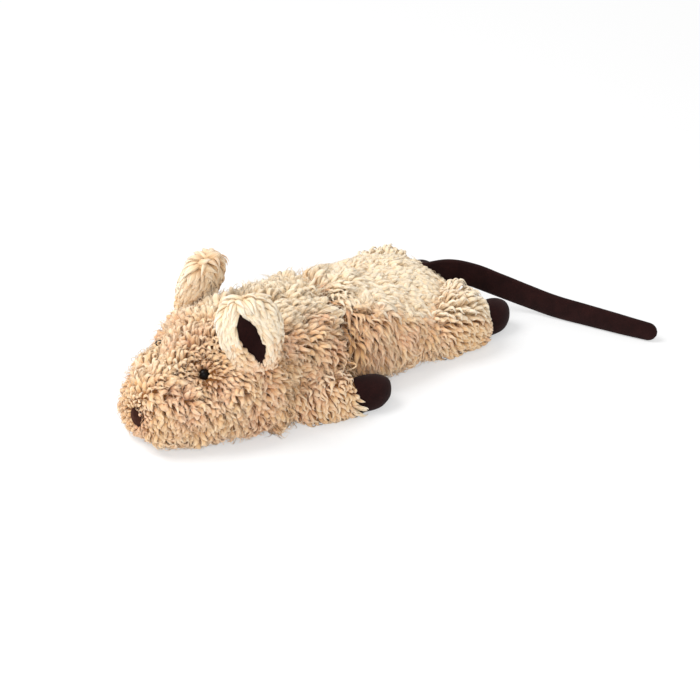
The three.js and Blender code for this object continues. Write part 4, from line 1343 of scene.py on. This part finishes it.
dress_body()
dress_limbs()
dress_ears()


def colour_backing(piece, share=1.0):
    """Gives the backing the painted light of the pile over it, and painted shade in and just behind the fold
    at the waist.
    """
    points, normals = points_of(piece.data) / MM, normals_of(piece.data)
    mark(piece.data, "pale", share * painted_light(points, normals))
    mark(piece.data, "shade", np.maximum(fold_shade(points), 0.8 * near_fold(points, 7, 9)))


colour_backing(body)
for (kind, _), limb in limbs.items():
    colour_backing(limb["sleeve"], LIMB_PAINTED_LIGHT[kind])
for side_name, ear in ears.items():
    knit = ear["blade"].data
    # painted light on the ear's knit
    mark(knit, "pale", np.full(len(knit.vertices), EAR_KNIT_PAINTED_LIGHT[side_name]))


# Inner pieces: the loose filling and the pouch


def lumpy_copy(node_name, name, material, voxel, lump, depth):
    """A fine copy of an inner solid, with dents up to depth deep that change over lump millimetres."""
    piece = placed(name, frame["nodes"][node_name].data.copy())
    piece.data.materials.clear()
    piece.data.materials.append(material)
    fuse(piece, voxel, 2)
    points, normals = points_of(piece.data), normals_of(piece.data)
    dent = depth * (0.5 + 0.5 * np.clip(waves(points / MM, lump, seed=131), -1, 1))
    set_points(piece.data, points - normals * dent[:, None] * MM)
    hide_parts(node_name)
    return piece


for body_name, nodes in frame["record"]["behaviour"]["bodies"].items():
    for node_name in nodes:
        if node_name.endswith("_stuffing"):
            inner = lumpy_copy(node_name, f"{node_name}_fibre", FILLING, FILLING_VOXEL, 11, 0.8)
        elif node_name == "catnip_pouch":
            inner = lumpy_copy(node_name, f"{node_name}_sewn", COTTON, POUCH_VOXEL, 9, 0.6)
        else:
            continue
        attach(inner, body_name)

# What the backings, the paws and feet, and the linings ride on and stand for

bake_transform(body)
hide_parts("torso_skin", "head_skin")
for (kind, side_name), limb in limbs.items():
    name = f"{kind}_{side_name}"
    for part, slot, stands_for in (("sleeve", "fleece", "sleeve"), ("end", "suede", limb["end_name"])):
        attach(limb[part], name)
        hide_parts(f"{name}_{stands_for}")
for side_name, ear in ears.items():
    name = f"ear_{side_name}"
    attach(ear["blade"], name)
    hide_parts(f"{name}_back")
    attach(ear["lining"], name)
    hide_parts(f"{name}_lining")

for side_name in SIDES:
    washer = frame["nodes"][f"eye_washer_{side_name}"]
    washer.data.materials.clear()
    washer.data.materials.append(WASHER_PLASTIC)


# Floor, light and background


def background_seen(tree):
    """1 where the camera, a reflection or a look through something sees the background."""
    rays = add(tree, "ShaderNodeLightPath").outputs
    seen = rays["Is Camera Ray"]
    for other in ("Is Glossy Ray", "Is Transmission Ray"):
        seen = add(tree, "ShaderNodeMath", {0: seen, 1: rays[other]}, operation="MAXIMUM").outputs[0]
    return seen


def add_stage():
    bpy.ops.mesh.primitive_plane_add(size=6, location=(0, 0, 0))
    floor = bpy.context.object
    floor.name = "floor"
    material = bpy.data.materials.new("Matte_white_paper")
    material.use_nodes = True
    tree = material.node_tree
    tree.nodes.clear()
    paper = add(tree, "ShaderNodeBsdfDiffuse", {"Color": colour("#fbfbfb")})
    white = add(tree, "ShaderNodeEmission", {"Color": (1, 1, 1, 1), "Strength": 1.0})
    # far from the object the floor runs out into the white background
    place = add(tree, "ShaderNodeTexCoord").outputs["Object"]
    away = add(tree, "ShaderNodeVectorMath", {0: place}, operation="LENGTH").outputs["Value"]
    fading = {"Value": away, "From Min": 0.25, "From Max": 1.2, "To Min": 0.5}
    whiteness = add(tree, "ShaderNodeMapRange", fading).outputs[0]
    share = add(tree, "ShaderNodeMath", {0: background_seen(tree), 1: whiteness}, operation="MULTIPLY")
    both = add(tree, "ShaderNodeMixShader", {0: share.outputs[0], 1: paper.outputs[0], 2: white.outputs[0]})
    add(tree, "ShaderNodeOutputMaterial", {"Surface": both.outputs[0]})
    floor.data.materials.append(material)


def add_light(name, place, target, size, power):
    light = bpy.data.lights.new(name, "AREA")
    light.shape, light.size, light.energy = "DISK", size, power
    lamp = placed(name, light)
    lamp.location = place
    lamp.rotation_mode = "QUATERNION"
    lamp.rotation_quaternion = (Vector(target) - Vector(place)).to_track_quat("-Z", "Y")


def add_world():
    world = bpy.data.worlds.new("studio")
    bpy.context.scene.world = world
    world.use_nodes = True
    tree = world.node_tree
    tree.nodes.clear()
    strength = add(tree, "ShaderNodeMapRange", {"Value": background_seen(tree), "To Min": 0.6, "To Max": 1.0})
    light = add(tree, "ShaderNodeBackground", {"Color": (1, 1, 1, 1), "Strength": strength.outputs[0]})
    add(tree, "ShaderNodeOutputWorld", {"Surface": light.outputs[0]})


add_stage()
add_world()
# in metres and watts
add_light("top_window", place=(-0.6, 0.5, 1.35), target=(0.03, 0, 0.02), size=0.9, power=16.5)
add_light("front_fill", place=(-1.1, -1.0, 0.8), target=(0.03, 0, 0.03), size=1.1, power=8.5)

bpy.context.scene.view_settings.view_transform = "Standard"
